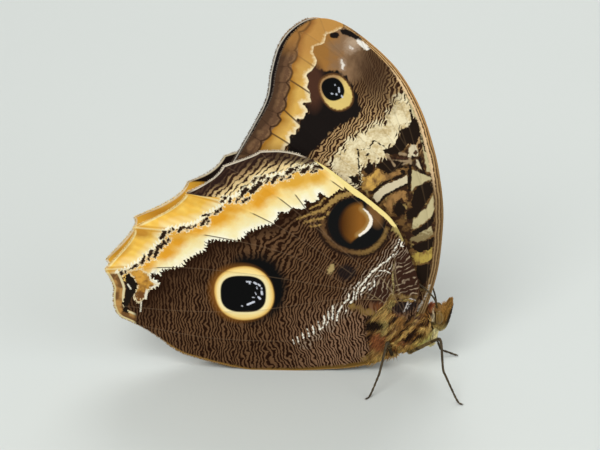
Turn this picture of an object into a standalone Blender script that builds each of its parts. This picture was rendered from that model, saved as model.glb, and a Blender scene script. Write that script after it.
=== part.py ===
"""Owl butterfly at rest with its wings closed over its back, at life size.

Every size below is in millimetres and is written to the meshes in metres. +X runs
towards the head, -Y is the animal's right side, +Z is up and the floor is z = 0. The
closed wings stand almost flat in the XZ plane, so their outlines and veins are pairs
(x, z), and a bow function gives each pair its distance from the body's midplane.
"""

import math

import bmesh
import bpy
from mathutils import Vector, geometry

MM = 0.001
GAP = 0.3                      # clearance between neighbouring pieces
RIGHT, LEFT = -1, 1

# Wings
MEMBRANE = 0.52                # thickness of the wing between its veins
VEIN = 0.92                    # thickness over a main vein at the root
VEIN_FOOT = 0.75               # from a vein's crest to the membrane beside it
VEIN_STEP = 4.0                # spacing of the points along a vein
MARGIN_STEP = 2.4              # spacing of the points along a wing's edge
FILL_STEP = 5.2                # spacing of the points in the open membrane
SAG_BELOW_FLOOR = 0.22         # how far the hindwing's belly is pressed flat on the floor

FORE_HINGE = (35.3, 19.0)
FORE_SPAN = 80.0               # hinge to apex
FORE_SWEEP = math.radians(1.2)  # how much further back the left forewing is folded
FORE_EDGE = (
    (35.0, 15.6), (36.2, 19.4), (37.0, 22.6), (38.3, 29.0), (39.0, 37.0), (39.15, 45.3),
    (38.2, 53.6), (36.5, 61.9), (33.0, 72.8), (27.9, 82.3), (22.1, 88.9), (15.1, 94.6),
    (8.9, 96.6), (3.9, 94.0), (0.6, 89.4), (-1.3, 82.8), (-2.5, 75.8), (-5.9, 68.6),
    (-9.8, 61.3), (-12.4, 55.9), (-11.2, 52.6), (-2.0, 47.0), (14.0, 36.0), (26.0, 26.4),
    (30.8, 20.6), (31.4, 15.0))
FORE_VEINS = (
    ((34.6, 17.5), (36.2, 24.0), (37.2, 32.0), (37.4, 45.0), (35.6, 58.0), (33.0, 68.0), (31.4, 75.7)),
    ((34.6, 17.5), (35.6, 26.0), (35.6, 38.0), (34.4, 49.0), (30.2, 62.0)),
    ((34.4, 49.0), (31.4, 64.0), (27.8, 76.0), (24.8, 85.8)),
    ((30.2, 62.0), (26.0, 74.0), (21.6, 83.6), (17.8, 92.6)),
    ((30.2, 62.0), (23.8, 73.0), (17.0, 84.0), (11.4, 90.6), (8.9, 96.6)),
    ((17.0, 84.0), (9.4, 90.0), (3.9, 94.0)),
    ((29.4, 60.0), (22.0, 70.0), (12.6, 80.0), (0.6, 89.4)),
    ((26.4, 56.0), (17.5, 66.5), (8.0, 76.0), (-1.3, 82.8)),
    ((30.2, 62.0), (29.4, 60.0), (26.4, 56.0), (22.0, 52.6), (17.5, 50.5)),
    ((34.6, 17.5), (31.0, 27.5), (24.5, 38.0), (17.5, 50.5)),
    ((22.0, 52.6), (12.4, 61.0), (4.5, 68.5), (-2.5, 75.8)),
    ((17.5, 50.5), (9.5, 57.0), (1.5, 63.6), (-5.9, 68.6)),
    ((24.5, 38.0), (14.0, 46.6), (2.5, 54.5), (-9.8, 61.3)),
    ((34.6, 17.5), (27.5, 28.4), (16.0, 38.0), (2.0, 48.0), (-12.4, 55.9)))

HIND_HINGE = (30.5, 14.5)
HIND_SPAN = 75.0
HIND_FRONT_EDGE = (
    (32.6, 15.2), (33.4, 19.6), (33.7, 25.6), (31.7, 32.4), (29.1, 39.4), (26.5, 44.2),
    (22.0, 48.7), (14.8, 54.8), (9.7, 58.9), (4.7, 61.5), (-0.2, 62.6), (-5.4, 62.6))
# Each tooth at a vein's end, then the depth and the skew of the bay after it.
HIND_TEETH = (
    ((-5.4, 62.6), 0.4, 0.6), ((-14.1, 58.6), 1.1, 0.8), ((-23.2, 51.3), 1.5, 0.65),
    ((-36.5, 41.5), 1.4, 0.5), ((-43.8, 29.5), 0.25, 1.0), ((-41.7, 24.1), -0.2, 1.0),
    ((-41.9, 19.0), -0.4, 1.3), ((-40.1, 15.6), 0.0, 1.0))
HIND_LOWER_EDGE = (
    (-40.1, 15.6), (-35.2, 12.9), (-30.8, 9.6), (-27.9, 6.9), (-24.7, 4.9), (-19.7, 3.2),
    (-14.7, 1.7), (-9.7, 0.5), (-4.6, 0.0), (4.2, 0.3), (14.3, 1.2), (20.6, 2.4),
    (25.3, 4.2), (26.0, 9.6), (28.6, 11.4))
HIND_VEINS = (
    ((31.6, 14.0), (29.0, 22.6), (27.6, 29.4), (27.0, 36.6), (23.4, 43.4), (16.3, 50.8),
     (9.4, 56.6), (4.7, 61.5)),
    ((31.6, 14.0), (25.2, 26.6), (18.9, 31.7), (10.3, 40.3), (2.6, 51.4), (-5.4, 62.6)),
    ((31.6, 14.0), (24.0, 21.6), (19.5, 24.0)),
    ((18.9, 31.7), (17.0, 28.9), (15.3, 26.0), (19.5, 24.0)),
    ((18.9, 31.7), (6.6, 43.1), (-4.3, 52.5), (-14.1, 58.6)),
    ((17.0, 28.9), (4.2, 38.6), (-10.4, 47.0), (-23.2, 51.3)),
    ((15.3, 26.0), (1.7, 34.0), (-17.8, 39.1), (-36.5, 41.5)),
    ((19.5, 24.0), (10.4, 25.5), (-0.5, 27.3), (-9.8, 28.6), (-25.3, 30.0), (-43.8, 29.5)),
    ((24.0, 21.6), (13.4, 21.6), (-0.8, 18.9), (-10.0, 17.5), (-25.6, 17.5), (-41.9, 19.0)),
    ((31.6, 14.0), (23.2, 12.2), (14.2, 10.3), (-0.8, 9.0), (-18.3, 9.6), (-35.2, 12.9)),
    ((31.6, 14.0), (23.2, 9.6), (17.9, 4.4), (14.3, 1.2)))

# Body, as stations (x, z, half height, half width, tilt in degrees) from tail to head
THORAX = (
    (26.5, 6.5, 2.9, 2.8, 37.0), (28.4, 8.0, 4.1, 3.6, 37.0), (30.4, 9.5, 4.8, 4.1, 37.0),
    (32.6, 11.1, 5.0, 4.2, 36.0), (34.6, 12.6, 4.3, 3.7, 34.0), (36.4, 13.9, 2.6, 2.3, 26.0))
ABDOMEN = (
    (-1.2, 4.5, 0.6, 0.5, 0.0), (0.4, 4.5, 1.5, 1.3, 0.0), (3.2, 4.3, 2.2, 2.1, -2.0),
    (8.0, 4.1, 2.7, 2.6, -1.0), (14.0, 4.1, 3.0, 2.8, 1.0), (19.5, 4.5, 3.1, 2.9, 9.0),
    (23.4, 5.3, 3.0, 2.9, 20.0), (26.1, 6.2, 2.8, 2.7, 37.0))
HEAD = (
    (36.75, 14.05, 2.1, 1.9, 26.0), (37.5, 14.3, 2.7, 2.3, 12.0), (38.3, 14.4, 3.0, 2.4, 0.0),
    (39.1, 14.3, 2.6, 2.1, 0.0), (39.6, 14.2, 1.8, 1.5, 0.0), (39.85, 14.2, 0.9, 0.8, 0.0))
EYE_PLACE = (38.7, 2.0, 15.0)
EYE_RADII = (1.45, 1.15, 1.9)
TONGUE_PLACE = (40.5, 0.0, 12.9)
TONGUE_RADIUS = 0.62
TONGUE_THICKNESS = 0.46

# Palps: (x, side, z, half depth, half thickness) from the chin to the tip
PALP = (
    (37.9, 0.95, 12.1, 0.42, 0.34), (38.9, 1.0, 11.4, 0.55, 0.40), (39.9, 1.0, 12.2, 0.74, 0.44),
    (40.5, 1.0, 14.0, 0.82, 0.44), (41.0, 0.98, 15.8, 0.68, 0.40), (41.5, 0.9, 17.4, 0.42, 0.32),
    (41.9, 0.85, 18.7, 0.14, 0.18))

# Antennae: the free part, then the part tucked between the fore- and the hindwing
ANTENNA_FREE = ((38.2, 0.7, 16.0), (38.2, 1.0, 18.2), (37.6, 2.0, 20.4), (36.7, 2.85, 22.2))
ANTENNA_TUCKED = ((35.1, 24.0), (33.3, 25.6), (29.2, 29.8), (24.4, 34.6), (20.6, 38.2), (17.6, 41.0))
ANTENNA_RADIUS = 0.27
CLUB_RADIUS = 0.42
CLUB_LENGTH = 5.5

# Legs: (x, y, z, radius) from inside the thorax to the toe, y as it stands
MIDLEG_RIGHT = (
    (31.2, -1.6, 7.4, 0.45), (31.5, -3.0, 5.4, 0.50), (33.2, -4.6, 7.2, 0.52), (38.0, -8.5, 12.6, 0.40),
    (38.9, -9.5, 13.0, 0.38), (39.2, -11.0, 11.6, 0.34), (39.5, -14.0, 7.6, 0.31), (40.2, -15.0, 6.0, 0.30),
    (42.2, -17.2, 2.2, 0.28), (43.3, -18.2, 0.45, 0.27), (44.0, -18.6, 0.15, 0.25))
MIDLEG_LEFT = (
    (31.0, 1.6, 7.4, 0.45), (30.2, 3.0, 4.8, 0.50), (32.4, 4.0, 5.4, 0.52), (36.6, 5.4, 8.2, 0.40),
    (37.5, 5.6, 8.3, 0.38), (38.1, 5.4, 7.2, 0.34), (39.4, 4.8, 3.0, 0.31), (40.2, 4.4, 1.4, 0.30),
    (42.4, 3.9, 0.7, 0.28), (43.6, 3.6, 0.25, 0.27), (44.0, 3.5, 0.15, 0.25))
HINDLEG_RIGHT = (
    (28.0, -1.4, 7.0, 0.45), (27.4, -3.2, 5.0, 0.50), (27.0, -4.4, 6.2, 0.52), (26.1, -7.6, 11.0, 0.40),
    (25.7, -8.5, 11.4, 0.38), (25.2, -9.6, 9.8, 0.34), (24.0, -12.4, 5.8, 0.31), (23.5, -13.2, 4.6, 0.30),
    (22.0, -15.0, 1.5, 0.28), (21.3, -15.7, 0.4, 0.27), (20.7, -16.2, 0.15, 0.25))
HINDLEG_LEFT = (
    (28.0, 1.4, 7.0, 0.45), (27.4, 3.2, 5.0, 0.50), (27.0, 4.4, 6.0, 0.52), (26.1, 7.0, 10.2, 0.40),
    (25.7, 7.8, 10.6, 0.38), (25.2, 8.4, 9.2, 0.34), (24.0, 9.6, 5.4, 0.31), (23.5, 10.0, 4.2, 0.30),
    (21.8, 11.0, 1.4, 0.28), (21.0, 11.4, 0.4, 0.27), (20.4, 11.7, 0.15, 0.25))
FORELEG = (
    (34.6, 1.3, 11.6, 0.40), (35.4, 1.7, 9.4, 0.46), (36.2, 1.9, 8.0, 0.46), (36.9, 1.9, 7.7, 0.42),
    (37.4, 1.8, 8.4, 0.40), (37.8, 1.6, 9.6, 0.34), (38.0, 1.5, 10.4, 0.26))
BRISTLE_SIDES_RESOLUTION = 2   # gives a leg or feeler eight sides


# ---------------------------------------------------------------- scene and materials

def clear_scene():
    for old in list(bpy.data.objects):
        bpy.data.objects.remove(old, do_unlink=True)


def new_collection(name):
    collection = bpy.data.collections.new(name)
    bpy.context.scene.collection.children.link(collection)
    return collection


def new_material(name, colour, roughness, metallic=0.0):
    material = bpy.data.materials.new(name)
    material.use_nodes = True
    shader = material.node_tree.nodes["Principled BSDF"]
    shader.inputs["Base Color"].default_value = (*colour, 1.0)
    shader.inputs["Roughness"].default_value = roughness
    shader.inputs["Metallic"].default_value = metallic
    material.diffuse_color = (*colour, 1.0)
    return material


clear_scene()
PARTS = new_collection("owl_butterfly")
CUTTERS = new_collection("cutters")
WING_BROWN = new_material("wing_brown", (0.16, 0.09, 0.05), 0.6)
FORE_TAN = new_material("fore_tan", (0.30, 0.18, 0.08), 0.6)
BODY_FUR = new_material("body_fur", (0.30, 0.17, 0.07), 0.85)
EYE_DARK = new_material("eye_dark", (0.10, 0.06, 0.03), 0.2)
LEG_OLIVE = new_material("leg_olive", (0.09, 0.08, 0.04), 0.55)


def add_piece(name, shape, material, collection=None):
    """Writes a bmesh, whose points are in millimetres, as an object in metres."""
    bmesh.ops.scale(shape, vec=(MM, MM, MM), verts=shape.verts)
    bmesh.ops.recalc_face_normals(shape, faces=shape.faces)
    mesh = bpy.data.meshes.new(name)
    shape.to_mesh(mesh)
    shape.free()
    mesh.materials.append(material)
    piece = bpy.data.objects.new(name, mesh)
    (collection or PARTS).objects.link(piece)
    return piece


def add_cutter(name, shape):
    cutter = add_piece(name, shape, BODY_FUR, CUTTERS)
    cutter.hide_render = True
    cutter.display_type = "WIRE"
    return cutter


# ---------------------------------------------------------------- shared shapes

def spline(points, step):
    """Points about one step apart on a smooth curve through the given ones."""
    knots = [Vector(point) for point in points]
    last = len(knots) - 1
    curve = []
    for i in range(last):
        before, start, end, after = (knots[max(i - 1, 0)], knots[i], knots[i + 1],
                                     knots[min(i + 2, last)])
        count = max(1, round((end - start).length / step))
        for k in range(count):
            t = k / count
            curve.append(0.5 * (2 * start + (end - before) * t
                                + (2 * before - 5 * start + 4 * end - after) * t * t
                                + (3 * start - before - 3 * end + after) * t ** 3))
    curve.append(knots[-1])
    return curve


def bridge_rings(rings):
    """A closed skin over a row of rings, each a list of points, with flat ends."""
    shape = bmesh.new()
    rows = [[shape.verts.new(point) for point in ring] for ring in rings]
    sides = len(rows[0])
    for row, following in zip(rows, rows[1:]):
        for i in range(sides):
            j = (i + 1) % sides
            shape.faces.new((row[i], row[j], following[j], following[i]))
    shape.faces.new(rows[0])
    shape.faces.new(rows[-1])
    return shape


def body_shape(stations, sides, grow=0.0):
    """A length of the body over its stations, or the same grown all round."""
    rings = []
    for index, (x, z, half_height, half_width, tilt) in enumerate(stations):
        angle = math.radians(tilt)
        along = Vector((math.cos(angle), 0.0, math.sin(angle)))
        up = Vector((-math.sin(angle), 0.0, math.cos(angle)))
        centre = Vector((x, 0.0, z))
        if index == 0:
            centre -= along * grow
        if index == len(stations) - 1:
            centre += along * grow
        ring = []
        for k in range(sides):
            turn = 2 * math.pi * k / sides
            ring.append(centre + up * (half_height + grow) * math.sin(turn)
                        + Vector((0.0, half_width + grow, 0.0)) * math.cos(turn))
        rings.append(ring)
    return bridge_rings(rings)


def ellipsoid_shape(centre, radii, grow=0.0, segments=16, rings=10):
    shape = bmesh.new()
    bmesh.ops.create_uvsphere(shape, u_segments=segments, v_segments=rings, radius=1.0)
    bmesh.ops.scale(shape, vec=[radius + grow for radius in radii], verts=shape.verts)
    bmesh.ops.translate(shape, vec=centre, verts=shape.verts)
    return shape


def tapered_tube(name, stations, material):
    """A limb as a bevelled curve through (x, y, z, radius) stations, made a closed mesh."""
    curve = bpy.data.curves.new(name + "_path", "CURVE")
    curve.dimensions = "3D"
    curve.bevel_depth = MM
    curve.bevel_resolution = BRISTLE_SIDES_RESOLUTION
    curve.use_fill_caps = True
    line = curve.splines.new("POLY")
    line.points.add(len(stations) - 1)
    for point, (x, y, z, radius) in zip(line.points, stations):
        point.co = (x * MM, y * MM, z * MM, 1.0)
        point.radius = radius
    path = bpy.data.objects.new(name + "_path", curve)
    PARTS.objects.link(path)
    bpy.context.view_layer.update()
    depsgraph = bpy.context.evaluated_depsgraph_get()
    mesh = bpy.data.meshes.new_from_object(path.evaluated_get(depsgraph))
    shape = bmesh.new()
    shape.from_mesh(mesh)
    bmesh.ops.remove_doubles(shape, verts=shape.verts, dist=0.01 * MM)
    bmesh.ops.recalc_face_normals(shape, faces=shape.faces)
    shape.to_mesh(mesh)
    shape.free()
    mesh.materials.clear()
    mesh.materials.append(material)
    bpy.data.objects.remove(path, do_unlink=True)
    limb = bpy.data.objects.new(name, mesh)
    PARTS.objects.link(limb)
    return limb


def islands(shape):
    """The closed surfaces of a bmesh, each as a list of its faces, largest first."""
    left = set(shape.faces)
    found = []
    while left:
        seed = left.pop()
        island, front = [seed], [seed]
        while front:
            for edge in front.pop().edges:
                for face in edge.link_faces:
                    if face in left:
                        left.remove(face)
                        island.append(face)
                        front.append(face)
        found.append(island)
    return sorted(found, key=len, reverse=True)


def settle(piece, cutters=()):
    """Cuts the piece clear of its neighbours, flattens it on the floor, keeps one closed body."""
    for cutter in cutters:
        cut = piece.modifiers.new("clear_of_" + cutter.name, "BOOLEAN")
        cut.operation = "DIFFERENCE"
        cut.solver = "EXACT"
        cut.object = cutter
    bpy.context.view_layer.update()
    depsgraph = bpy.context.evaluated_depsgraph_get()
    mesh = bpy.data.meshes.new_from_object(piece.evaluated_get(depsgraph))
    piece.modifiers.clear()
    shape = bmesh.new()
    shape.from_mesh(mesh)
    if min(vertex.co.z for vertex in shape.verts) < 0.0:
        bmesh.ops.bisect_plane(shape, geom=shape.verts[:] + shape.edges[:] + shape.faces[:],
                               plane_co=(0, 0, 0), plane_no=(0, 0, 1), dist=0.0001 * MM, clear_inner=True)
        bmesh.ops.holes_fill(shape, edges=[edge for edge in shape.edges if edge.is_boundary], sides=0)
    for island in islands(shape)[1:]:
        bmesh.ops.delete(shape, geom=island, context="FACES")
    bmesh.ops.triangulate(shape, faces=shape.faces)
    bmesh.ops.recalc_face_normals(shape, faces=shape.faces)
    shape.to_mesh(mesh)
    shape.free()
    piece.data = mesh
    mesh.shade_smooth()
    mesh.set_sharp_from_angle(angle=math.radians(50.0))
    return piece


# ---------------------------------------------------------------- wings

def fore_bow(x, z):
    """Distance of a forewing's middle surface from the midplane."""
    reach = math.dist((x, z), FORE_HINGE)
    return 0.72 + 1.0 * math.exp(-(reach / 32.0) ** 2)


def hind_bow(x, z):
    """Distance of a hindwing's middle surface: round the abdomen, in to the hinge."""
    reach = math.dist((x, z), (28.0, 18.0))
    root = math.dist((x, z), HIND_HINGE)
    return 2.35 + 1.75 * math.exp(-(reach / 36.0) ** 2) - 0.8 * math.exp(-(root / 6.0) ** 2)


def toothed_edge(teeth, step):
    """The scalloped outer margin: a bay between each tooth and the next."""
    edge = []
    for (start, depth, skew), (end, _, _) in zip(teeth, teeth[1:]):
        start, end = Vector(start), Vector(end)
        chord = end - start
        inward = Vector((-chord.y, chord.x)).normalized()
        count = max(2, round(chord.length / step))
        for k in range(count):
            t = k / count
            edge.append(start + chord * t + inward * depth * math.sin(math.pi * t ** skew))
    return edge


def hind_outline():
    return (spline(HIND_FRONT_EDGE, MARGIN_STEP)[:-1] + toothed_edge(HIND_TEETH, MARGIN_STEP)
            + spline(HIND_LOWER_EDGE, MARGIN_STEP))


def fore_outline():
    return spline(FORE_EDGE, MARGIN_STEP)


def is_inside(point, outline):
    """True if the flat point lies within the closed outline."""
    inside = False
    for a, b in zip(outline, outline[1:] + outline[:1]):
        if (a.y > point.y) != (b.y > point.y):
            if point.x < a.x + (point.y - a.y) * (b.x - a.x) / (b.y - a.y):
                inside = not inside
    return inside


def is_clear(point, others, distance):
    return all((point - other).length > distance for other in others)


def is_clear_of_lines(point, lines, distance):
    """True if no stretch of the given broken lines comes within the distance."""
    for line in lines:
        for a, b in zip(line, line[1:]):
            nearest, along = geometry.intersect_point_line(point, a, b)
            if not 0.0 < along < 1.0:
                nearest = a if along <= 0.0 else b
            if (point - nearest).length < distance:
                return False
    return True


def wing_net(outline, veins):
    """Triangles of a flat wing, with the numbers of the points that lie on veins."""
    points = list(outline)
    count = len(outline)
    edges = [(i, (i + 1) % count) for i in range(count)]
    crests = []
    feet = []
    rows = []
    for vein in veins:
        line = spline(vein, VEIN_STEP)
        row = []
        for k, point in enumerate(line):
            number = None
            if k in (0, len(line) - 1):
                nearest = min(range(len(points)), key=lambda i: (points[i] - point).length)
                if (points[nearest] - point).length < MARGIN_STEP:
                    number = nearest
            if number is None:
                number = len(points)
                points.append(point)
            row.append(number)
        edges += list(zip(row, row[1:]))
        crests += row
        rows.append(row)
    crest_points = [points[number] for number in crests]
    crest_lines = [[points[number] for number in row] for row in rows]
    for row in rows:
        for before, here, after in zip(row, row[1:], row[2:]):
            along = (points[after] - points[before]).normalized()
            for side in (Vector((-along.y, along.x)), Vector((along.y, -along.x))):
                foot = points[here] + side * VEIN_FOOT
                if is_inside(foot, outline) and is_clear(foot, outline, VEIN_FOOT) \
                        and is_clear_of_lines(foot, crest_lines, 0.85 * VEIN_FOOT) \
                        and is_clear(foot, feet, 0.5):
                    feet.append(foot)
    points += feet
    taken = outline + crest_points + feet
    low = Vector((min(p.x for p in outline), min(p.y for p in outline)))
    high = Vector((max(p.x for p in outline), max(p.y for p in outline)))
    row_height = FILL_STEP * math.sqrt(3) / 2
    for j in range(int((high.y - low.y) / row_height) + 1):
        for i in range(int((high.x - low.x) / FILL_STEP) + 1):
            spot = low + Vector(((i + 0.5 * (j % 2)) * FILL_STEP, j * row_height))
            if is_inside(spot, outline) and is_clear(spot, taken, 0.48 * FILL_STEP):
                points.append(spot)
    flat, _, triangles, sources, _, _ = geometry.delaunay_2d_cdt(
        points, edges, [list(range(count))], 1, 0.0001)
    raised = {number for number, source in enumerate(sources) if set(source) & set(crests)}
    return flat, triangles, raised


def add_wing(name, outline, veins, bow, side, hinge, span, material, cutters, sweep=0.0):
    """A wing as an open sheet, thickened evenly to both faces and thicker along its veins."""
    flat, triangles, raised = wing_net(outline, veins)
    shape = bmesh.new()
    for point in flat:
        dx, dz = point.x - hinge[0], point.y - hinge[1]
        x = hinge[0] + dx * math.cos(sweep) - dz * math.sin(sweep)
        z = hinge[1] + dx * math.sin(sweep) + dz * math.cos(sweep)
        shape.verts.new((x, side * bow(x, z), z))
    shape.verts.ensure_lookup_table()
    for triangle in triangles:
        shape.faces.new([shape.verts[number] for number in triangle])
    wing = add_piece(name, shape, material)
    ridge = wing.vertex_groups.new(name="vein")
    for number in raised:
        taper = 1.0 - 0.65 * math.dist(flat[number], hinge) / span
        ridge.add([number], max(taper, 0.3), "REPLACE")
    thicken = wing.modifiers.new("thickness", "SOLIDIFY")
    thicken.thickness = VEIN * MM
    thicken.offset = 0.0
    thicken.vertex_group = "vein"
    thicken.thickness_vertex_group = MEMBRANE / VEIN
    return settle(wing, cutters)


# ---------------------------------------------------------------- the animal

def add_body():
    grown = {}
    for name, stations, sides in (("thorax", THORAX, 18), ("abdomen", ABDOMEN, 14), ("head", HEAD, 16)):
        grown[name] = add_cutter("grown_" + name, body_shape(stations, sides, GAP))
    settle(add_piece("thorax", body_shape(THORAX, 18), BODY_FUR))
    settle(add_piece("abdomen", body_shape(ABDOMEN, 14), BODY_FUR))
    sockets = []
    for side, name in ((RIGHT, "right"), (LEFT, "left")):
        place = (EYE_PLACE[0], side * EYE_PLACE[1], EYE_PLACE[2])
        settle(add_piece("eye_" + name, ellipsoid_shape(place, EYE_RADII), EYE_DARK))
        socket = add_cutter("socket_" + name, ellipsoid_shape(place, EYE_RADII, GAP))
        grown["eye_" + name] = socket
        sockets.append(socket)
    settle(add_piece("head", body_shape(HEAD, 16), BODY_FUR), sockets)
    return grown


def add_mouth(grown):
    """The two upturned palps before the face, and the coiled tongue between them."""
    sides = 10
    for side, name in ((RIGHT, "right"), (LEFT, "left")):
        rings = []
        stations = spline(PALP, 0.9)
        for index, (x, y, z, half_depth, half_thickness) in enumerate(stations):
            here = Vector((x, side * y, z))
            before = stations[max(index - 1, 0)]
            after = stations[min(index + 1, len(stations) - 1)]
            along = Vector((after[0] - before[0], 0.0, after[2] - before[2])).normalized()
            across = Vector((along.z, 0.0, -along.x))
            rings.append([here + across * half_depth * math.cos(2 * math.pi * k / sides)
                          + Vector((0.0, half_thickness, 0.0)) * math.sin(2 * math.pi * k / sides)
                          for k in range(sides)])
        settle(add_piece("palp_" + name, bridge_rings(rings), BODY_FUR),
               [grown["head"], grown["eye_" + name]])
    bpy.ops.mesh.primitive_torus_add(
        major_segments=16, minor_segments=6, location=[value * MM for value in TONGUE_PLACE],
        rotation=(math.pi / 2, 0.0, 0.0), major_radius=TONGUE_RADIUS * MM,
        minor_radius=TONGUE_THICKNESS / 2 * MM)
    tongue = bpy.context.object
    tongue.name = "proboscis"
    tongue.data.materials.append(LEG_OLIVE)
    for collection in list(tongue.users_collection):
        collection.objects.unlink(tongue)
    PARTS.objects.link(tongue)


def add_antennae(grown):
    for side, name in ((RIGHT, "right"), (LEFT, "left")):
        route = [(x, side * y, z) for x, y, z in ANTENNA_FREE]
        for x, z in ANTENNA_TUCKED:
            route.append((x, side * (fore_bow(x, z) + hind_bow(x, z)) / 2, z))
        line = spline(route, 2.6)
        stations = []
        for point in line:
            to_tip = (point - line[-1]).length
            if to_tip < 0.2:
                radius = 0.5 * CLUB_RADIUS
            elif to_tip < CLUB_LENGTH:
                swell = math.sin(math.pi * min(1.0, 1.4 * (1.0 - to_tip / CLUB_LENGTH)) / 2)
                radius = ANTENNA_RADIUS + (CLUB_RADIUS - ANTENNA_RADIUS) * swell
            else:
                radius = ANTENNA_RADIUS
            stations.append((*point, radius))
        antenna = tapered_tube("antenna_" + name, stations, LEG_OLIVE)
        settle(antenna, [grown["head"]])


def add_legs(grown):
    """Four walking legs on the floor, and the reduced front pair folded under the chin."""
    walking = (("midleg_right", MIDLEG_RIGHT), ("midleg_left", MIDLEG_LEFT),
               ("hindleg_right", HINDLEG_RIGHT), ("hindleg_left", HINDLEG_LEFT))
    for name, stations in walking:
        settle(tapered_tube(name, stations, LEG_OLIVE), [grown["thorax"]])
    for side, name in ((RIGHT, "right"), (LEFT, "left")):
        stations = [(x, side * y, z, radius) for x, y, z, radius in FORELEG]
        settle(tapered_tube("foreleg_" + name, stations, LEG_OLIVE), [grown["thorax"], grown["head"]])


def add_wings(grown):
    hind = [Vector((point.x, point.y - SAG_BELOW_FLOOR)) for point in hind_outline()]
    fore = fore_outline()
    for side, name, sweep in ((RIGHT, "right", 0.0), (LEFT, "left", FORE_SWEEP)):
        add_wing("wing_fore_" + name, fore, FORE_VEINS, fore_bow, side, FORE_HINGE, FORE_SPAN,
                 FORE_TAN, [grown["thorax"], grown["head"]], sweep)
        add_wing("wing_hind_" + name, hind, HIND_VEINS, hind_bow, side, HIND_HINGE, HIND_SPAN,
                 WING_BROWN, [grown["thorax"], grown["abdomen"]])


def centre_on_floor():
    """Parents every piece to one empty and puts the middle of the base at the origin."""
    root = bpy.data.objects.new("owl_butterfly_root", None)
    PARTS.objects.link(root)
    corners = []
    for piece in PARTS.objects:
        if piece.type == "MESH":
            corners += [piece.matrix_world @ vertex.co for vertex in piece.data.vertices]
    middle = [(min(c[axis] for c in corners) + max(c[axis] for c in corners)) / 2 for axis in (0, 1)]
    for piece in list(PARTS.objects) + list(CUTTERS.objects):
        if piece is not root:
            piece.parent = root
    root.location = (-middle[0], -middle[1], 0.0)
    bpy.context.view_layer.update()


GROWN = add_body()
add_mouth(GROWN)
add_antennae(GROWN)
add_legs(GROWN)
add_wings(GROWN)
centre_on_floor()
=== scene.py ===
import math

import bmesh
import bpy
import numpy as np
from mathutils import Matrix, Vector, geometry


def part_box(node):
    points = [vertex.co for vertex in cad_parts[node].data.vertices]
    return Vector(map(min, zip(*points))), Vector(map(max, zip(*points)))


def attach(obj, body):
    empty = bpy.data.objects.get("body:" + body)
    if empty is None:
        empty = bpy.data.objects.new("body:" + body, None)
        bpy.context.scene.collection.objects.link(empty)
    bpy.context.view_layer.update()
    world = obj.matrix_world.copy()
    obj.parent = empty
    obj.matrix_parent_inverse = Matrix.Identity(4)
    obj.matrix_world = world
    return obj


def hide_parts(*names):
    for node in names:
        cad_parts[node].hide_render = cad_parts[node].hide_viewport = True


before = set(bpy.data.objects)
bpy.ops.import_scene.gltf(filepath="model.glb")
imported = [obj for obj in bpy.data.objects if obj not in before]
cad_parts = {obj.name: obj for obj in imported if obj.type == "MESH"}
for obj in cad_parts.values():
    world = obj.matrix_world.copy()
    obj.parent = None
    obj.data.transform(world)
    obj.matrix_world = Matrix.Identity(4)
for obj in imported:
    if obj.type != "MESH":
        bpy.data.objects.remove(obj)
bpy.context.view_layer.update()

# ---------------------------------------------------------------------------------------------
# The ground it stands on: a plain pale floor under soft studio light, seen from the animal's
# right side and a little above. Sizes here and below are in millimetres in the animal's own
# frame: +X towards the head, -Y its right side, the floor at 0.
MM = 0.001
TONGUE_CENTRE = np.array((40.5, 0.0, 12.9))    # the coiled tongue's place in the solids
LOOK_AT = (4.2, 0.0, 40.5)
LOOK_DOWN = math.radians(30.0)
CAMERA_DISTANCE = 600.0
LENS_AND_SENSOR = (146.94, 36.0)
LAMPS = (("key", (-0.25, -0.55, 0.75), 0.5, 5.2),   # place and side in metres, power in watts
         ("fill", (0.6, -0.35, 0.35), 0.6, 2.0),
         ("back", (0.1, 0.6, 0.6), 0.5, 2.6))
SKY, SKY_STRENGTH = (0.93, 0.95, 0.96, 1.0), 0.42
FLOOR_GREY, FLOOR_ROUGHNESS = (0.62, 0.65, 0.62, 1.0), 0.8
FLOOR_SIDE = 6.0                               # metres

tongue_low, tongue_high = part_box("proboscis")
ORIGIN = (np.array(tongue_low) + np.array(tongue_high)) / 2 / MM - TONGUE_CENTRE


def in_frame(points):
    """Millimetres in the animal's frame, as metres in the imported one."""
    return (np.asarray(points, float) + ORIGIN) * MM


def aim(thing, place, target):
    thing.location = place
    thing.rotation_euler = (Vector(target) - Vector(place)).to_track_quat("-Z", "Y").to_euler()
    bpy.context.scene.collection.objects.link(thing)


camera = bpy.data.objects.new("camera", bpy.data.cameras.new("camera"))
camera.data.lens, camera.data.sensor_width = LENS_AND_SENSOR
camera.data.clip_start = 0.01
target = in_frame(LOOK_AT)
away = np.array((0, -math.cos(LOOK_DOWN), math.sin(LOOK_DOWN)))
aim(camera, target + CAMERA_DISTANCE * MM * away, target)
bpy.context.scene.camera = camera

for name, place, side, power in LAMPS:
    light = bpy.data.objects.new(name, bpy.data.lights.new(name, "AREA"))
    light.data.size = side
    light.data.energy = power
    aim(light, place, target)

world = bpy.data.worlds.new("studio")
bpy.context.scene.world = world
world.use_nodes = True
world.node_tree.nodes["Background"].inputs["Color"].default_value = SKY
world.node_tree.nodes["Background"].inputs["Strength"].default_value = SKY_STRENGTH
bpy.context.scene.view_settings.view_transform = "Standard"

bpy.ops.mesh.primitive_plane_add(size=FLOOR_SIDE)
floor = bpy.context.object
floor.name = "floor"
floor_paint = bpy.data.materials.new("floor_paint")
floor_paint.use_nodes = True
floor_shader = floor_paint.node_tree.nodes["Principled BSDF"]
floor_shader.inputs["Base Color"].default_value = FLOOR_GREY
floor_shader.inputs["Roughness"].default_value = FLOOR_ROUGHNESS
floor.data.materials.append(floor_paint)

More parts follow.
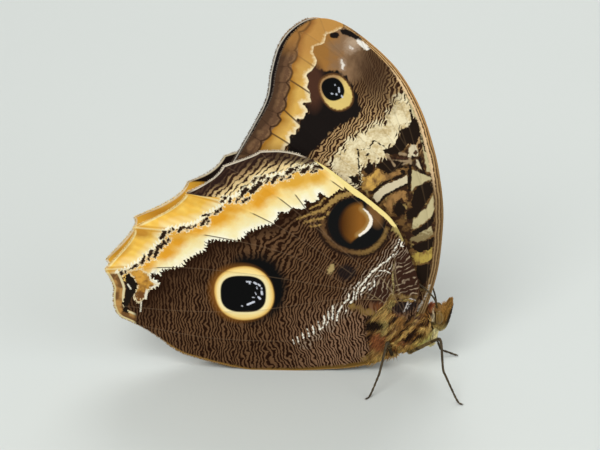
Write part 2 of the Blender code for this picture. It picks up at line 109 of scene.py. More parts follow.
# ---------------------------------------------------------------------------------------------
# Hindwings: two membranes of dry cuticle stretched between hollow veins, covered on both faces
# with rows of coloured scales. Each hangs from the rear of the thorax, outside the forewing, and
# its lower edge lies on the floor. The underside, which shows, carries the two eyespots.
WING_HALF = 0.14              # half the membrane's thickness
MESH_STEP = 0.30              # spacing of the points in the membrane
BESIDE_VEIN = 0.3             # how far beside a vein its two rows of points run
VEIN_RISE = 0.19              # height of a vein over the membrane at the wing's root
VEIN_REACH = 0.38             # its half width there
VEIN_TAPER = 0.68             # share of both that is lost by the wing's tip
PLEAT = 0.08                  # how far the membrane rises at its veins and sinks between them
MARGIN_PLEAT = 0.22           # and how much more near the hindwing's golden margin
PLEAT_HALF = 4.0              # from a vein to the bottom of a pleat
PLEATS_START, PLEATS_GROW = 10.0, 20.0     # from the hinge to the first pleats, and to full depth
INNER_RIDGE = 0.3             # share of a vein's height that stands out on the inner face
SHARP_EDGE = math.radians(50.0)
SIDES_APART = 9.0             # how far from 0 each side's wings read the noise of their scales
LINE_PITCH = 0.80             # spacing of the fine wavy lines on the ground colour
OUTER_SHARE = 0.97            # share of the bake sheet's side that the patterned face takes,
INNER_SHARE = 0.22            # the plain one,
RIM_STRIP = 0.004             # and the width of the rim's strip round the first
SHEET_MARGIN = 0.01

HIND_SAG = 0.22               # how far the lower edge is pressed flat on the floor
HIND_HINGE = (30.5, 14.5)
HIND_SPAN = 75.0
HIND_MIDDLE = (28.0, 18.0)    # where it bulges round the body
HIND_OUT = 2.35               # how far its middle surface stands out from the midplane,
HIND_BULGE = (1.75, 36.0)     # how much more round the body, and how far from the bulge's middle,
HIND_TUCK = (0.8, 6.0)        # and how much less by the hinge, and how far from it
HIND_FRONT_EDGE = (
    (32.6, 15.2), (33.4, 19.6), (33.7, 25.6), (31.7, 32.4), (29.1, 39.4), (26.5, 44.2), (22, 48.7),
    (14.8, 54.8), (9.7, 58.9), (4.7, 61.5), (-0.2, 62.6), (-5.4, 62.6))
# Each tooth at a vein's end, then the depth and the skew of the bay after it.
HIND_TEETH = (
    ((-5.4, 62.6), 0.4, 0.6), ((-14.1, 58.6), 1.1, 0.8), ((-23.2, 51.3), 1.5, 0.65),
    ((-36.5, 41.5), 1.4, 0.5), ((-43.8, 29.5), 0.25, 1), ((-41.7, 24.1), -0.2, 1), ((-41.9, 19), -0.4, 1.3),
    ((-40.1, 15.6), 0, 1))
HIND_LOWER_EDGE = (
    (-40.1, 15.6), (-35.2, 12.9), (-30.8, 9.6), (-27.9, 6.9), (-24.7, 4.9), (-19.7, 3.2), (-14.7, 1.7),
    (-9.7, 0.5), (-4.6, 0), (4.2, 0.3), (14.3, 1.2), (20.6, 2.4), (25.3, 4.2), (26, 9.6), (28.6, 11.4))
HIND_VEINS = (
    ((31.6, 14), (29, 22.6), (27.6, 29.4), (27, 36.6), (23.4, 43.4), (16.3, 50.8), (9.4, 56.6), (4.7, 61.5)),
    ((31.6, 14), (25.2, 26.6), (18.9, 31.7), (10.3, 40.3), (2.6, 51.4), (-5.4, 62.6)),
    ((31.6, 14), (24, 21.6), (19.5, 24)), ((18.9, 31.7), (17, 28.9), (15.3, 26), (19.5, 24)),
    ((18.9, 31.7), (6.6, 43.1), (-4.3, 52.5), (-14.1, 58.6)),
    ((17, 28.9), (4.2, 38.6), (-10.4, 47), (-23.2, 51.3)),
    ((15.3, 26), (1.7, 34), (-17.8, 39.1), (-36.5, 41.5)),
    ((19.5, 24), (10.4, 25.5), (-0.5, 27.3), (-9.8, 28.6), (-25.3, 30), (-43.8, 29.5)),
    ((24, 21.6), (13.4, 21.6), (-0.8, 18.9), (-10, 17.5), (-25.6, 17.5), (-41.9, 19)),
    ((31.6, 14), (23.2, 12.2), (14.2, 10.3), (-0.8, 9), (-18.3, 9.6), (-35.2, 12.9)),
    ((31.6, 14), (23.2, 9.6), (17.9, 4.4), (14.3, 1.2)))


def spline(points, step):
    """Points about one step apart on a smooth curve through the given ones."""
    knots = np.asarray(points, float)
    last = len(knots) - 1
    curve = []
    for i in range(last):
        before, start, end, after = (knots[max(i - 1, 0)], knots[i], knots[i + 1],
                                     knots[min(i + 2, last)])
        count = max(1, round(float(np.linalg.norm(end - start)) / step))
        for k in range(count):
            t = k / count
            curve.append(0.5 * (2 * start + (end - before) * t
                                + (2 * before - 5 * start + 4 * end - after) * t * t
                                + (3 * start - before - 3 * end + after) * t ** 3))
    curve.append(knots[-1])
    return np.array(curve)


def toothed_edge(teeth, step):
    """The scalloped outer margin: a bay between each tooth and the next."""
    edge = []
    for (start, depth, skew), (end, _, _) in zip(teeth, teeth[1:]):
        start, chord = np.array(start), np.subtract(end, start)
        inward = np.array((-chord[1], chord[0])) / np.linalg.norm(chord)
        count = max(2, round(float(np.linalg.norm(chord)) / step))
        for k in range(count):
            t = k / count
            edge.append(start + chord * t + inward * depth * math.sin(math.pi * t ** skew))
    return np.array(edge)


def to_line(points, line, closed=False):
    """For each flat point: its distance to a broken line, the length along it, and its side."""
    line = np.asarray(line, float)
    if closed:
        line = np.vstack((line, line[:1]))
    best = np.full(len(points), 1e9)
    along = np.zeros(len(points))
    side = np.zeros(len(points))
    run = 0.0
    for a, b in zip(line, line[1:]):
        step = b - a
        length = float(np.linalg.norm(step))
        if length < 1e-9:
            continue
        offset = points - a
        t = np.clip(offset @ step / length ** 2, 0.0, 1.0)
        gap = np.hypot(offset[:, 0] - step[0] * t, offset[:, 1] - step[1] * t)
        near = gap < best
        best[near] = gap[near]
        along[near] = run + t[near] * length
        side[near] = np.sign(step[0] * offset[near, 1] - step[1] * offset[near, 0])
        run += length
    return best, along, side


def is_inside(points, outline):
    """True where a flat point lies within the closed outline."""
    outline = np.asarray(outline, float)
    inside = np.zeros(len(points), bool)
    x, z = points.T
    for a, b in zip(outline, np.roll(outline, -1, axis=0)):
        if a[1] != b[1]:
            crosses = (a[1] > z) != (b[1] > z)
            inside ^= crosses & (x < a[0] + (z - a[1]) * (b[0] - a[0]) / (b[1] - a[1]))
    return inside


def depth_in(points, *outlines):
    """How deep a flat point lies in the nearest of the closed outlines, below 0 outside them."""
    deepest = np.full(len(points), -1e9)
    for outline in outlines:
        gap = to_line(points, outline, closed=True)[0]
        deepest = np.maximum(deepest, np.where(is_inside(points, outline), gap, -gap))
    return deepest


def strokes(points, lines):
    """How deep a flat point lies in the nearest of some straight brush strokes: ends and width."""
    depth = np.full(len(points), -1e9)
    for x0, z0, x1, z1, width in lines:
        depth = np.maximum(depth, width / 2 - to_line(points, ((x0, z0), (x1, z1)))[0])
    return depth


def oval(points, centre, radii, turn=0.0, square=2.0):
    """How deep a flat point lies in an oval, whose corners fill out as square grows."""
    angle = math.radians(turn)
    x, z = points[:, 0] - centre[0], points[:, 1] - centre[1]
    across = np.abs(x * math.cos(angle) + z * math.sin(angle)) / radii[0]
    up = np.abs(z * math.cos(angle) - x * math.sin(angle)) / radii[1]
    reach = (across ** square + up ** square) ** (1 / square)
    return (1.0 - reach) * min(radii)


def marks(points, stroked, spotted, outlined):
    """How deep each flat point lies in each mark, in millimetres."""
    found = {mark: strokes(points, lines) for mark, lines in stroked.items()}
    for mark, spots in spotted.items():
        found[mark] = np.max([oval(points, *spot) for spot in spots], axis=0)
    for mark, outlines in outlined.items():
        found[mark] = depth_in(points, *outlines)
    return found


def wing_sheet(outline, veins, step):
    """Flat points and triangles of a wing, with rows of points on its veins and beside them."""
    rows = []
    for vein in veins:
        crest = spline(vein, step)
        along = np.gradient(crest, axis=0)
        across = np.stack((-along[:, 1], along[:, 0]), 1) / np.linalg.norm(along, axis=1)[:, None]
        rows += [crest, crest + BESIDE_VEIN * across, crest - BESIDE_VEIN * across]
    taken = [outline]
    for row in rows:
        keep = is_inside(row, outline) & (to_line(row, outline, True)[0] > 0.4 * step)
        for other in taken[1:]:
            keep &= ((row[:, None] - other[None]) ** 2).sum(2).min(1) > (0.5 * step) ** 2
        if keep.any():
            taken.append(row[keep])
    low, high = outline.min(0), outline.max(0)
    row_up = step * math.sqrt(3) / 2
    grid = np.array([(low[0] + (i + 0.5 * (j % 2)) * step, low[1] + j * row_up)
                     for j in range(int((high[1] - low[1]) / row_up) + 1)
                     for i in range(int((high[0] - low[0]) / step) + 1)])
    grid = grid[is_inside(grid, outline)]
    grid = grid[to_line(grid, outline, True)[0] > 0.5 * step]
    crowd = np.full(len(grid), 1e9)
    for vein in veins:
        crowd = np.minimum(crowd, to_line(grid, spline(vein, 1.0))[0])
    grid = grid[crowd > BESIDE_VEIN + 0.45 * step]
    points = np.vstack(taken + [grid])
    count = len(outline)
    flat, _, triangles, _, _, _ = geometry.delaunay_2d_cdt(
        [Vector(point) for point in points], [(i, (i + 1) % count) for i in range(count)],
        [list(range(count))], 1, 1e-5)
    return np.array([tuple(point) for point in flat]), np.array(triangles)


def from_hinge(points, hinge):
    return np.hypot(points[:, 0] - hinge[0], points[:, 1] - hinge[1])


def rise(beyond, width):
    """From 0 to 1 over this width."""
    return np.clip(beyond / width, 0, 1)


def hind_bow(points):
    """Distance of a hindwing's middle surface from the midplane: round the body, in to the hinge."""
    bulge = HIND_BULGE[0] * np.exp(-(from_hinge(points, HIND_MIDDLE) / HIND_BULGE[1]) ** 2)
    return HIND_OUT + bulge - HIND_TUCK[0] * np.exp(-(from_hinge(points, HIND_HINGE) / HIND_TUCK[1]) ** 2)


def vein_height(points, veins, hinge, span):
    """The veins' ridges over the membrane, and each point's distance to its nearest vein."""
    height = np.zeros(len(points))
    nearest = np.full(len(points), 1e9)
    taper = 1.0 - VEIN_TAPER * rise(from_hinge(points, hinge), span)
    for vein in veins:
        gap = to_line(points, spline(vein, 1.0))[0]
        height = np.maximum(height, VEIN_RISE * taper * np.exp(-(gap / (VEIN_REACH * taper)) ** 2))
        nearest = np.minimum(nearest, gap)
    return height, nearest


def swept(flat, hinge, turn):
    """Flat points turned about the wing's hinge."""
    x, z = flat[:, 0] - hinge[0], flat[:, 1] - hinge[1]
    return np.stack((hinge[0] + x * math.cos(turn) - z * math.sin(turn),
                     hinge[1] + x * math.sin(turn) + z * math.cos(turn)), 1)


def pleats(points, nearest, hinge, depth):
    """How far the membrane lies outside its middle surface: out at its veins, in between them."""
    spread = rise(from_hinge(points, hinge) - PLEATS_START, PLEATS_GROW)
    return depth * spread * np.cos(math.pi * np.clip(nearest, 0.0, PLEAT_HALF) / PLEAT_HALF)


def unwrap(points, flat):
    """Where points on the outer face of a wing, or of a bed on it, lie on the bake sheet."""
    return (points - flat.min(0)) / np.ptp(flat, axis=0).max() * OUTER_SHARE + SHEET_MARGIN


def unwrap_inside(flat):
    """Where the points of a wing's plain inner face lie: small, in the sheet's free corner."""
    small = (flat - flat.max(0)) / np.ptp(flat, axis=0).max() * INNER_SHARE
    return small + 1.0 - SHEET_MARGIN


def rim_strip(flat, rim, side):
    """How far each rim point's second place on the sheet lies beyond the outer face's outline."""
    beyond = np.zeros_like(flat)
    for i, j in rim:
        step = flat[j] - flat[i]
        beyond[[i, j]] += side * np.array((-step[1], step[0]))
    return RIM_STRIP * beyond / np.maximum(np.linalg.norm(beyond, axis=1), 1e-9)[:, None]


def store(mesh, name, kind, values):
    """Gives each point of a mesh a value, a place or a colour under this name."""
    part = {"FLOAT": "value", "FLOAT_VECTOR": "vector", "FLOAT_COLOR": "color"}[kind]
    attribute = mesh.attributes.new(name, kind, "POINT")
    attribute.data.foreach_set(part, np.asarray(values, np.float32).ravel())


def read(items, part, width):
    """One property of all of a mesh's items, a row for each."""
    values = np.zeros(len(items) * width)
    items.foreach_get(part, values)
    return values.reshape(-1, width)


def corner_points(mesh):
    """The number of the point at each corner of a mesh's faces."""
    corners = np.zeros(len(mesh.loops), np.int32)
    mesh.loops.foreach_get("vertex_index", corners)
    return corners


def lay_out(mesh, places):
    """Gives a mesh its map on the bake sheet, with a place for each corner of its faces."""
    mesh.uv_layers.new(name="OFBake").data.foreach_set("uv", places.astype(np.float32).ravel())


def add_object(name, mesh):
    thing = bpy.data.objects.new(name, mesh)
    bpy.context.scene.collection.objects.link(thing)
    return thing


def build_wing(name, flat, triangles, ridge, bow, side, turn, hinge, fields, materials):
    """The two faces of a wing and the rim between them. Both faces hold the fields as attributes."""
    count = len(flat)
    x, z = swept(flat, hinge, turn).T
    middle = bow(np.stack((x, z), 1)) + fields.pop("pleat")
    outer = np.stack((x, side * (middle + WING_HALF + ridge), z), 1)
    inner = np.stack((x, side * (middle - WING_HALF - INNER_RIDGE * ridge), z), 1)
    a, b, c = (flat[triangles[:, k]] for k in range(3))
    turned = (b[:, 0] - a[:, 0]) * (c[:, 1] - a[:, 1]) - (b[:, 1] - a[:, 1]) * (c[:, 0] - a[:, 0])
    outward = np.where((turned * side < 0)[:, None], triangles, triangles[:, ::-1])
    faces = outward.tolist() + (outward[:, ::-1] + count).tolist()
    edges = set()
    for i, j, k in outward.tolist():
        edges.update(((i, j), (j, k), (k, i)))
    rim = [(i, j) for i, j in edges if (j, i) not in edges]
    faces += [(j, i, i + count, j + count) for i, j in rim]
    mesh = bpy.data.meshes.new(name)
    mesh.from_pydata(in_frame(np.vstack((outer, inner))).tolist(), [], faces)
    slots = np.zeros(len(faces), np.int32)
    slots[len(outward):2 * len(outward)] = 1
    for material in materials:
        mesh.materials.append(material)
    mesh.polygons.foreach_set("material_index", slots)
    mesh.shade_smooth()
    mesh.set_sharp_from_angle(angle=SHARP_EDGE)
    for label, values in fields.items():
        store(mesh, label, "FLOAT", np.tile(values, 2))
    place = np.column_stack((flat, np.full(count, SIDES_APART * side)))
    store(mesh, "flat", "FLOAT_VECTOR", np.vstack((place, place)))
    corners = corner_points(mesh)
    sheet = np.vstack((unwrap(flat, flat), unwrap_inside(flat)))[corners]
    on_rim = corners[-4 * len(rim):]
    beyond = rim_strip(flat, rim, side)[on_rim % count] * (on_rim >= count)[:, None]
    sheet[-4 * len(rim):] = unwrap(flat, flat)[on_rim % count] + beyond
    lay_out(mesh, sheet)
    return add_object(name, mesh)


class Amount:
    """A number that differs over a painted surface. Sums on it become part of the paint."""

    def __init__(self, paint, socket):
        self.paint, self.socket = paint, socket

    def __add__(self, other):
        return self.paint.calc("ADD", self, other)

    def __sub__(self, other):
        return self.paint.calc("SUBTRACT", self, other)

    def __rsub__(self, other):
        return self.paint.calc("SUBTRACT", other, self)

    def __mul__(self, other):
        return self.paint.calc("MULTIPLY", self, other)

    def __pow__(self, power):
        return self.paint.calc("POWER", self, power)

    def __abs__(self):
        return self.paint.calc("ABSOLUTE", self)

    __radd__, __rmul__ = __add__, __mul__


def sine(amount):
    return amount.paint.calc("SINE", amount)


def zigzag(amount, height):
    return amount.paint.calc("PINGPONG", amount, height)


def larger(amount, other):
    return amount.paint.calc("MAXIMUM", amount, other)


class Paint:
    """A surface painted in layers: each covers the one before where its mask is 1."""

    def __init__(self, name, roughness, specular):
        self.material = bpy.data.materials.new(name)
        self.material.use_nodes = True
        self.nodes = self.material.node_tree.nodes
        self.shader = self.nodes["Principled BSDF"]
        self.shader.inputs["Roughness"].default_value = roughness
        self.shader.inputs["Specular IOR Level"].default_value = specular
        self.colour = None

    def put(self, socket, value):
        if isinstance(value, Amount):
            self.material.node_tree.links.new(value.socket, socket)
        elif socket.type == "RGBA":
            socket.default_value = (*value, 1.0)
        else:
            socket.default_value = value

    def node(self, kind, *values, output=0, **settings):
        """A shader node with these settings and first inputs, as what it puts out."""
        node = self.nodes.new("ShaderNode" + kind)
        for setting, value in settings.items():
            setattr(node, setting, value)
        for socket, value in zip(node.inputs, values):
            self.put(socket, value)
        return Amount(self, node.outputs[output])

    def calc(self, operation, *values, clamp=False):
        return self.node("Math", *values, operation=operation, use_clamp=clamp)

    def field(self, name, output="Fac"):
        return self.node("Attribute", output=output, attribute_name=name)

    def place(self):
        return self.node("TexCoord", output="Object")

    def axes(self, vector):
        node = self.nodes.new("ShaderNodeSeparateXYZ")
        self.put(node.inputs[0], vector)
        return [Amount(self, axis) for axis in node.outputs]

    def noise(self, place, scale, stretch=(1.0, 1.0, 1.0)):
        """Noise about 0, most of it within a quarter either way."""
        mapping = self.nodes.new("ShaderNodeMapping")
        self.put(mapping.inputs["Vector"], place)
        mapping.inputs["Scale"].default_value = stretch
        node = self.nodes.new("ShaderNodeTexNoise")
        self.put(node.inputs["Vector"], Amount(self, mapping.outputs[0]))
        node.inputs["Scale"].default_value = scale
        return Amount(self, node.outputs["Fac"]) - 0.5

    def inside(self, depth, soft, jag=None, amount=0.0):
        """A mask that is 1 where the depth is above 0, its edge moved about by the jag."""
        if jag is not None:
            depth = self.calc("MULTIPLY_ADD", jag, amount, depth)
        return self.calc("MULTIPLY_ADD", depth, 1.0 / soft, 0.5, clamp=True)

    def line(self, gap, width, soft):
        return self.inside(width / 2 - gap, soft)

    def mix(self, first, second, share):
        node = self.nodes.new("ShaderNodeMix")
        node.data_type = "RGBA"
        self.put(node.inputs["Factor"], share)
        self.put(node.inputs[6], first)
        self.put(node.inputs[7], second)
        return Amount(self, node.outputs[2])

    def cover(self, colour, mask=1.0):
        self.colour = colour if self.colour is None else self.mix(self.colour, colour, mask)

    def mark(self, colour, name, soft, jag=None, amount=0.0, more=0.0):
        """Covers the mark of this name with a colour, a little more or less of it than drawn."""
        depth = self.field(name) + more if more else self.field(name)
        self.cover(colour, self.inside(depth, soft, jag, amount))

    def finish(self, height=None, distance=0.00005, strength=0.5):
        self.put(self.shader.inputs["Base Color"], self.colour)
        if height is not None:
            bump = self.nodes.new("ShaderNodeBump")
            bump.inputs["Distance"].default_value = distance
            bump.inputs["Strength"].default_value = strength
            self.put(bump.inputs["Height"], height)
            self.put(self.shader.inputs["Normal"], Amount(self, bump.outputs[0]))
        return self.material


BLACK = (0.004, 0.004, 0.004)
DARK = (0.017, 0.0055, 0.0018)
TAN_LINE = (0.130, 0.066, 0.030)
CREAM = (0.94, 0.83, 0.47)
NOISE_SCALES = (0.32, 0.62, 1.7, 6.0)    # from coarse to grit, that ruffle the markings

# Underside markings of the hindwing on the flat wing. First the lines that its bands follow.
BAND_OUTER = (
    (-40.2, 28.3), (-37.5, 29.8), (-34.5, 31.8), (-32, 34.2), (-29.3, 37.5), (-28.2, 40.5), (-24.5, 41.2),
    (-21, 42.2), (-18.5, 44.3), (-15.5, 46.5), (-13, 49), (-9.5, 50.8), (-6.5, 53), (-3.5, 55), (0, 56),
    (4, 57.5), (9, 58.3))
BAND_INNER = (
    (-34.5, 20.5), (-34, 23), (-30.5, 25), (-31.5, 26.5), (-33.5, 27), (-32, 28.5), (-30.5, 28),
    (-29.5, 29.5), (-27, 30), (-25, 30.5), (-24, 32), (-22.5, 33), (-21, 34), (-19, 35), (-18.7, 37.5),
    (-17, 38), (-14, 38), (-11.5, 37.8), (-9.5, 38.8), (-8.8, 40.5), (-7, 41), (-5, 42), (-2.5, 42.5),
    (-1.2, 44), (-1, 45.7), (1.5, 45.3), (2.5, 47), (4.5, 46.3), (5.8, 47), (5.5, 49), (7.5, 48.2),
    (9, 49.3), (9, 51), (11, 49.5), (12.5, 50.5), (13.3, 51.7), (15, 52), (15.5, 54))
PALE_STREAKS = ((30, 38), (25, 32), (22, 29), (18, 24), (15.5, 20.5), (13, 17), (11, 14), (8, 11), (5, 8))
FRONT_LINE = (
    (1, 62.5), (5, 61.9), (8, 60.8), (10, 59.5), (12, 57.8), (14, 55.8), (16, 53.6), (18, 51.7), (20, 50.3),
    (22, 48.5), (24, 46.4), (25.5, 44.7), (27, 42.6), (28.2, 41.2))
CRESCENT = ((19.6, 47), (20.4, 46.3), (21.2, 45), (21.5, 43.6), (21.1, 42.2), (20.2, 40.9), (18.7, 39.6))
LOWER_ARC = (
    (9.8, 44), (9.9, 41), (11.2, 38.3), (13.5, 36.3), (16.5, 35.2), (19.5, 34.9), (22.3, 36.2), (24.2, 38.6),
    (25.2, 41.5))
# Straight strokes: both ends and the width of each.
HIND_STROKES = {
    "white": (
        (2.4, 9.6, 2.8, 8.2, 0.35), (3.4, 10.4, 3.9, 8.8, 0.4), (4.8, 11.4, 5.2, 9.6, 0.4),
        (6, 12.6, 6.5, 10.6, 0.45), (7.3, 13.6, 7.7, 11.4, 0.45), (8.6, 14.8, 9.2, 12.6, 0.5),
        (10.2, 16.6, 10.3, 14.6, 0.5), (10.3, 14.6, 9.8, 13.2, 0.5), (11.2, 17.8, 11.4, 15.6, 0.5),
        (11.4, 15.6, 10.8, 14, 0.4), (12.4, 19.5, 12.2, 15.6, 0.5), (14.6, 19.7, 13.6, 17.8, 0.6),
        (13.6, 17.8, 13.4, 15.4, 0.45), (15.9, 18.9, 15.4, 17.4, 0.3), (15.2, 20.6, 16.2, 21.7, 0.55),
        (16.2, 21.7, 16.3, 23.3, 0.4), (16.8, 20.6, 17.4, 21.8, 0.55), (17.4, 21.8, 17.6, 25.2, 0.4),
        (18, 21.2, 18.2, 23.2, 0.35), (18.2, 23.2, 18.6, 25, 0.45), (18.6, 25, 20.2, 26.9, 0.45),
        (19.2, 22.8, 19.4, 24.2, 0.35), (19.4, 24.2, 21.4, 26.4, 0.5), (18, 25.4, 18.9, 26.6, 0.4),
        (20.2, 27, 21.6, 29, 0.55), (21.9, 29.5, 23.2, 30.6, 0.6), (23.2, 30.6, 24.3, 31.9, 0.5),
        (22.8, 28.2, 24.4, 29, 0.35), (23.4, 29.7, 25.2, 29.9, 0.4), (25.2, 29.9, 26.6, 29, 0.35),
        (22.4, 27.6, 22.6, 25.4, 0.35), (22.6, 25.4, 21, 24.2, 0.3), (26.2, 30.4, 26.8, 31.4, 0.4),
        (24.3, 31.9, 25.8, 32.7, 0.5), (25.5, 32.8, 27.2, 34.6, 0.45), (27, 33.6, 28.2, 35.4, 0.35),
        (27.2, 35.6, 28.6, 38.6, 0.4), (28.8, 36.8, 29.4, 39, 0.35), (27.8, 37.4, 29.6, 36.6, 0.3)),
    "dashes": (
        (-40.1, 28, -39.9, 28.6, 0.9), (-38.9, 28.3, -38.7, 28.9, 0.6), (-37.6, 29.3, -36.2, 30.6, 0.8),
        (-34.8, 31.2, -34, 33, 0.8), (-33, 32.4, -32.1, 34.5, 0.9), (-31.4, 33, -30.5, 35.9, 0.9),
        (-30, 35.4, -29.2, 37.2, 0.9), (-29, 36.6, -27.9, 37.8, 0.8), (-29.6, 38.4, -28.9, 40, 1.3),
        (-27.8, 40.1, -26.9, 41, 0.6), (-25.5, 40.3, -24.2, 41.7, 0.7), (-23.4, 40.8, -22.5, 41.7, 0.6),
        (-21.9, 41.3, -21.2, 42.1, 0.5), (-19.9, 42, -18.6, 43.7, 0.7), (-19.4, 44.4, -17.4, 45.3, 0.5),
        (-18.3, 42.4, -18, 43.2, 0.5), (-16.3, 45.4, -14.9, 46.9, 0.8), (-14.6, 48.7, -13.9, 49.6, 0.7),
        (-12.9, 48.7, -12.7, 49.4, 0.6), (-11.2, 48.5, -10.4, 49.8, 0.7), (-9.8, 50.7, -8.8, 52, 1.1),
        (-9.6, 48.6, -8, 49.6, 0.8), (-7.6, 51.4, -5.6, 53.6, 1.2), (-7.1, 54.2, -6.5, 55, 0.7),
        (-5.4, 55, -4.3, 55.6, 0.9), (-3.9, 54, -3.3, 54.9, 0.6), (-2.4, 54, -1.3, 55.8, 0.8),
        (-0.4, 54.8, 0.2, 55.5, 0.5), (1.1, 55, 1.9, 55.5, 0.5), (1.2, 56.7, 2.5, 57.5, 1),
        (3, 57.4, 3.7, 58.3, 0.8), (4.7, 56.8, 6.2, 58, 1), (7.1, 56.8, 8.1, 57.3, 0.6),
        (8, 58.4, 9.4, 58.2, 0.9), (7.2, 57.2, 8, 58.4, 0.5)),
    "tail_white": (
        (-38.4, 25, -37.7, 23.7, 0.4), (-35.5, 17.2, -35.2, 20, 0.35), (-32.9, 27.6, -32.6, 26.2, 0.4),
        (-32.3, 25.9, -30.7, 25.1, 0.5), (-34.1, 21, -33.8, 23, 0.6), (-32.6, 24, -31.2, 24.8, 0.5),
        (-31.6, 28.4, -31.2, 29.3, 0.5)),
    "base_white": ((30, 17.7, 31, 20.8, 0.3), (30.8, 18.6, 31.6, 20.4, 0.22), (31.2, 21.9, 32.6, 21.3, 0.3)),
    "ochre_vein": ((27.2, 31.8, 27, 28, 0.24), (27, 28, 27.3, 24.6, 0.26), (27.3, 24.6, 27, 22.4, 0.3)),
    "sparks": (
        (-9, 26.1, -8, 26.1, 0.4), (-8.3, 26, -8.2, 25.5, 0.35), (-7.1, 25.9, -6.6, 25.5, 0.5),
        (-6.1, 25.4, -5.7, 25, 0.45), (-5.3, 24.3, -5.3, 24.1, 0.4), (-5.3, 23.3, -5.2, 22.5, 0.5),
        (-6.1, 21.7, -5.7, 21.2, 0.5), (-8.8, 19.5, -7.2, 20.3, 0.5), (-10.3, 19.1, -10.1, 19, 0.3),
        (-6.5, 24.6, -6.4, 24, 0.22), (-6.9, 23, -6.6, 22.4, 0.22), (-7.6, 21.6, -7.1, 21.5, 0.22)),
    "above_brown": (
        (3.6, 44.2, 6.8, 45.5, 0.4), (6.8, 45.5, 9.6, 46.4, 0.7), (9.6, 46.4, 11.6, 48.4, 1.1),
        (11.6, 48.4, 13.8, 50.4, 1.3), (13.8, 50.4, 16.8, 51.4, 1.1), (16.8, 51.4, 19.6, 50.4, 0.5),
        (5.4, 43.2, 7.6, 43.9, 0.5), (7.6, 43.9, 9.9, 44.5, 0.6), (6.6, 46.9, 8.8, 48.1, 0.4),
        (8.8, 48.1, 10.2, 49.7, 0.5), (7, 42, 9.4, 42.6, 0.35), (10.8, 45, 11.4, 46, 0.4)),
}
# Ovals: centre, radii, turn in degrees, and a power that squares the corners.
HIND_OVALS = {
    "bays": (
        ((-31.5, 45.5), (4.4, 1), 17), ((-34.6, 39.8), (2.1, 1.3), -8), ((-39.8, 34.3), (2.6, 0.9), 42),
        ((-27, 48.3), (2.5, 0.9), 20), ((-42, 28), (1, 1.2))),
    "orange": (
        ((-25.8, 37.2), (1.8, 1.5), 30), ((-28.3, 34.2), (2.6, 1.5), 45), ((-16, 43.6), (3.4, 1.5), 20),
        ((-12.5, 46.3), (2.6, 1), 15), ((-5.8, 48.9), (1.5, 2.2), -50), ((-3.7, 51.3), (1.6, 2.4), -50),
        ((3.6, 54.2), (3.2, 1.5), 15), ((8, 55.3), (2, 1.2), 15), ((-33.5, 30.3), (2.2, 1), 45),
        ((-21.5, 40.3), (2.5, 0.8), 10)),
    "base_ochre": (
        ((26.6, 20.4), (0.9, 2.4), -14), ((30.3, 22.1), (2.6, 0.6), -12), ((22, 17.4), (3.6, 0.9), -24),
        ((26, 14.2), (1.2, 2.4), 10), ((22.8, 4.2), (3.4, 1.3), 14), ((28.3, 14.6), (2.2, 1.4), 30),
        ((17.8, 19.4), (1.8, 0.6), -16)),
    "base_rust": (
        ((24, 8), (1.8, 4.6), -4), ((24.3, 12.4), (2.4, 0.8), -10), ((28.3, 16.4), (1.6, 0.9), -10),
        ((23.4, 19.6), (1.6, 1.2))),
    "base_dark": (
        ((23.2, 14.6), (2.1, 0.9), -8), ((30, 19.2), (2.8, 2.1), 25), ((15.6, 29.3), (2.4, 2.2)),
        ((32.3, 20.3), (1, 1.6)), ((26.8, 7.5), (0.9, 2.6), 8)),
    "blotch": (((11.8, 30.2), (0.75, 1.3), -15.0),),
    "branch": (((30.6, 28.5), (3.6, 7.0)), ((24.3, 23.6), (3.4, 5.0), 20.0)),
    "pupil": (((-9.85, 22.6), (5.65, 5.25), 0, 2.8),),
    "ring": (((-9.6, 22.7), (7.3, 7.75), 10, 2.2),),
    "halo": (((-7.5, 24.1), (8.2, 9.8), -8),),
    "chestnut": (((18.3, 43), (4.4, 5.5), -8),),
    "black_ring": (((17.9, 43), (7, 7.2)),),
    "beyond": (((22.4, 45.6), (1.7, 3.4), 12),),
}
HIND_OUTLINES = {
    "band": (BAND_OUTER + ((11.0, 58.9), (16.2, 54.3)) + BAND_INNER[::-1],),
    "amber": (BAND_OUTER[:11] + ((-15.2, 50.1), (-18.5, 50.4), (-23.4, 51.3), (-30.0, 58.0), (-52.0, 44.0),
                                 (-50.0, 26.0), (-44.0, 27.5)),),
    "top": (BAND_OUTER[10:] + ((14.0, 58.0), (10.0, 70.0), (-30.0, 60.0), (-23.4, 51.0), (-18.5, 50.1),
                               (-15.2, 49.8)),),
    "lens": (CRESCENT + ((17.2, 38.2), (16.0, 36.5), (10.0, 36.5), (10.0, 50.0), (19.0, 50.0)),),
    "tail_black": (
        ((-39, 27.9), (-38, 28.2), (-36.8, 26.6), (-36.1, 25), (-36.4, 23), (-37.6, 21), (-38.8, 18.6),
         (-38.4, 16.5), (-39.7, 17), (-39.9, 19.5), (-39, 22), (-38.8, 25)),),
    "tail_orange": (
        ((-38.2, 28.9), (-35, 29.6), (-33.5, 28), (-32.5, 26), (-31, 25), (-33.5, 23.5), (-34.3, 21),
         (-36, 20), (-37, 21.5), (-36, 24), (-36.5, 26), (-37.5, 27.5)),),
    "olive": (
        ((26.9, 42.2), (28.4, 41.6), (30.4, 41), (31.4, 39.6), (30.6, 38.4), (29, 38.6), (27.8, 39.8)),),
}
LEAN_BELOW, LEAN_ABOVE = -0.35, 0.50       # how the fine wavy lines lean low down and high up,
LEAN_TURNS, LEAN_OVER = 18.0, 6.0          # the height where that changes, and over how much
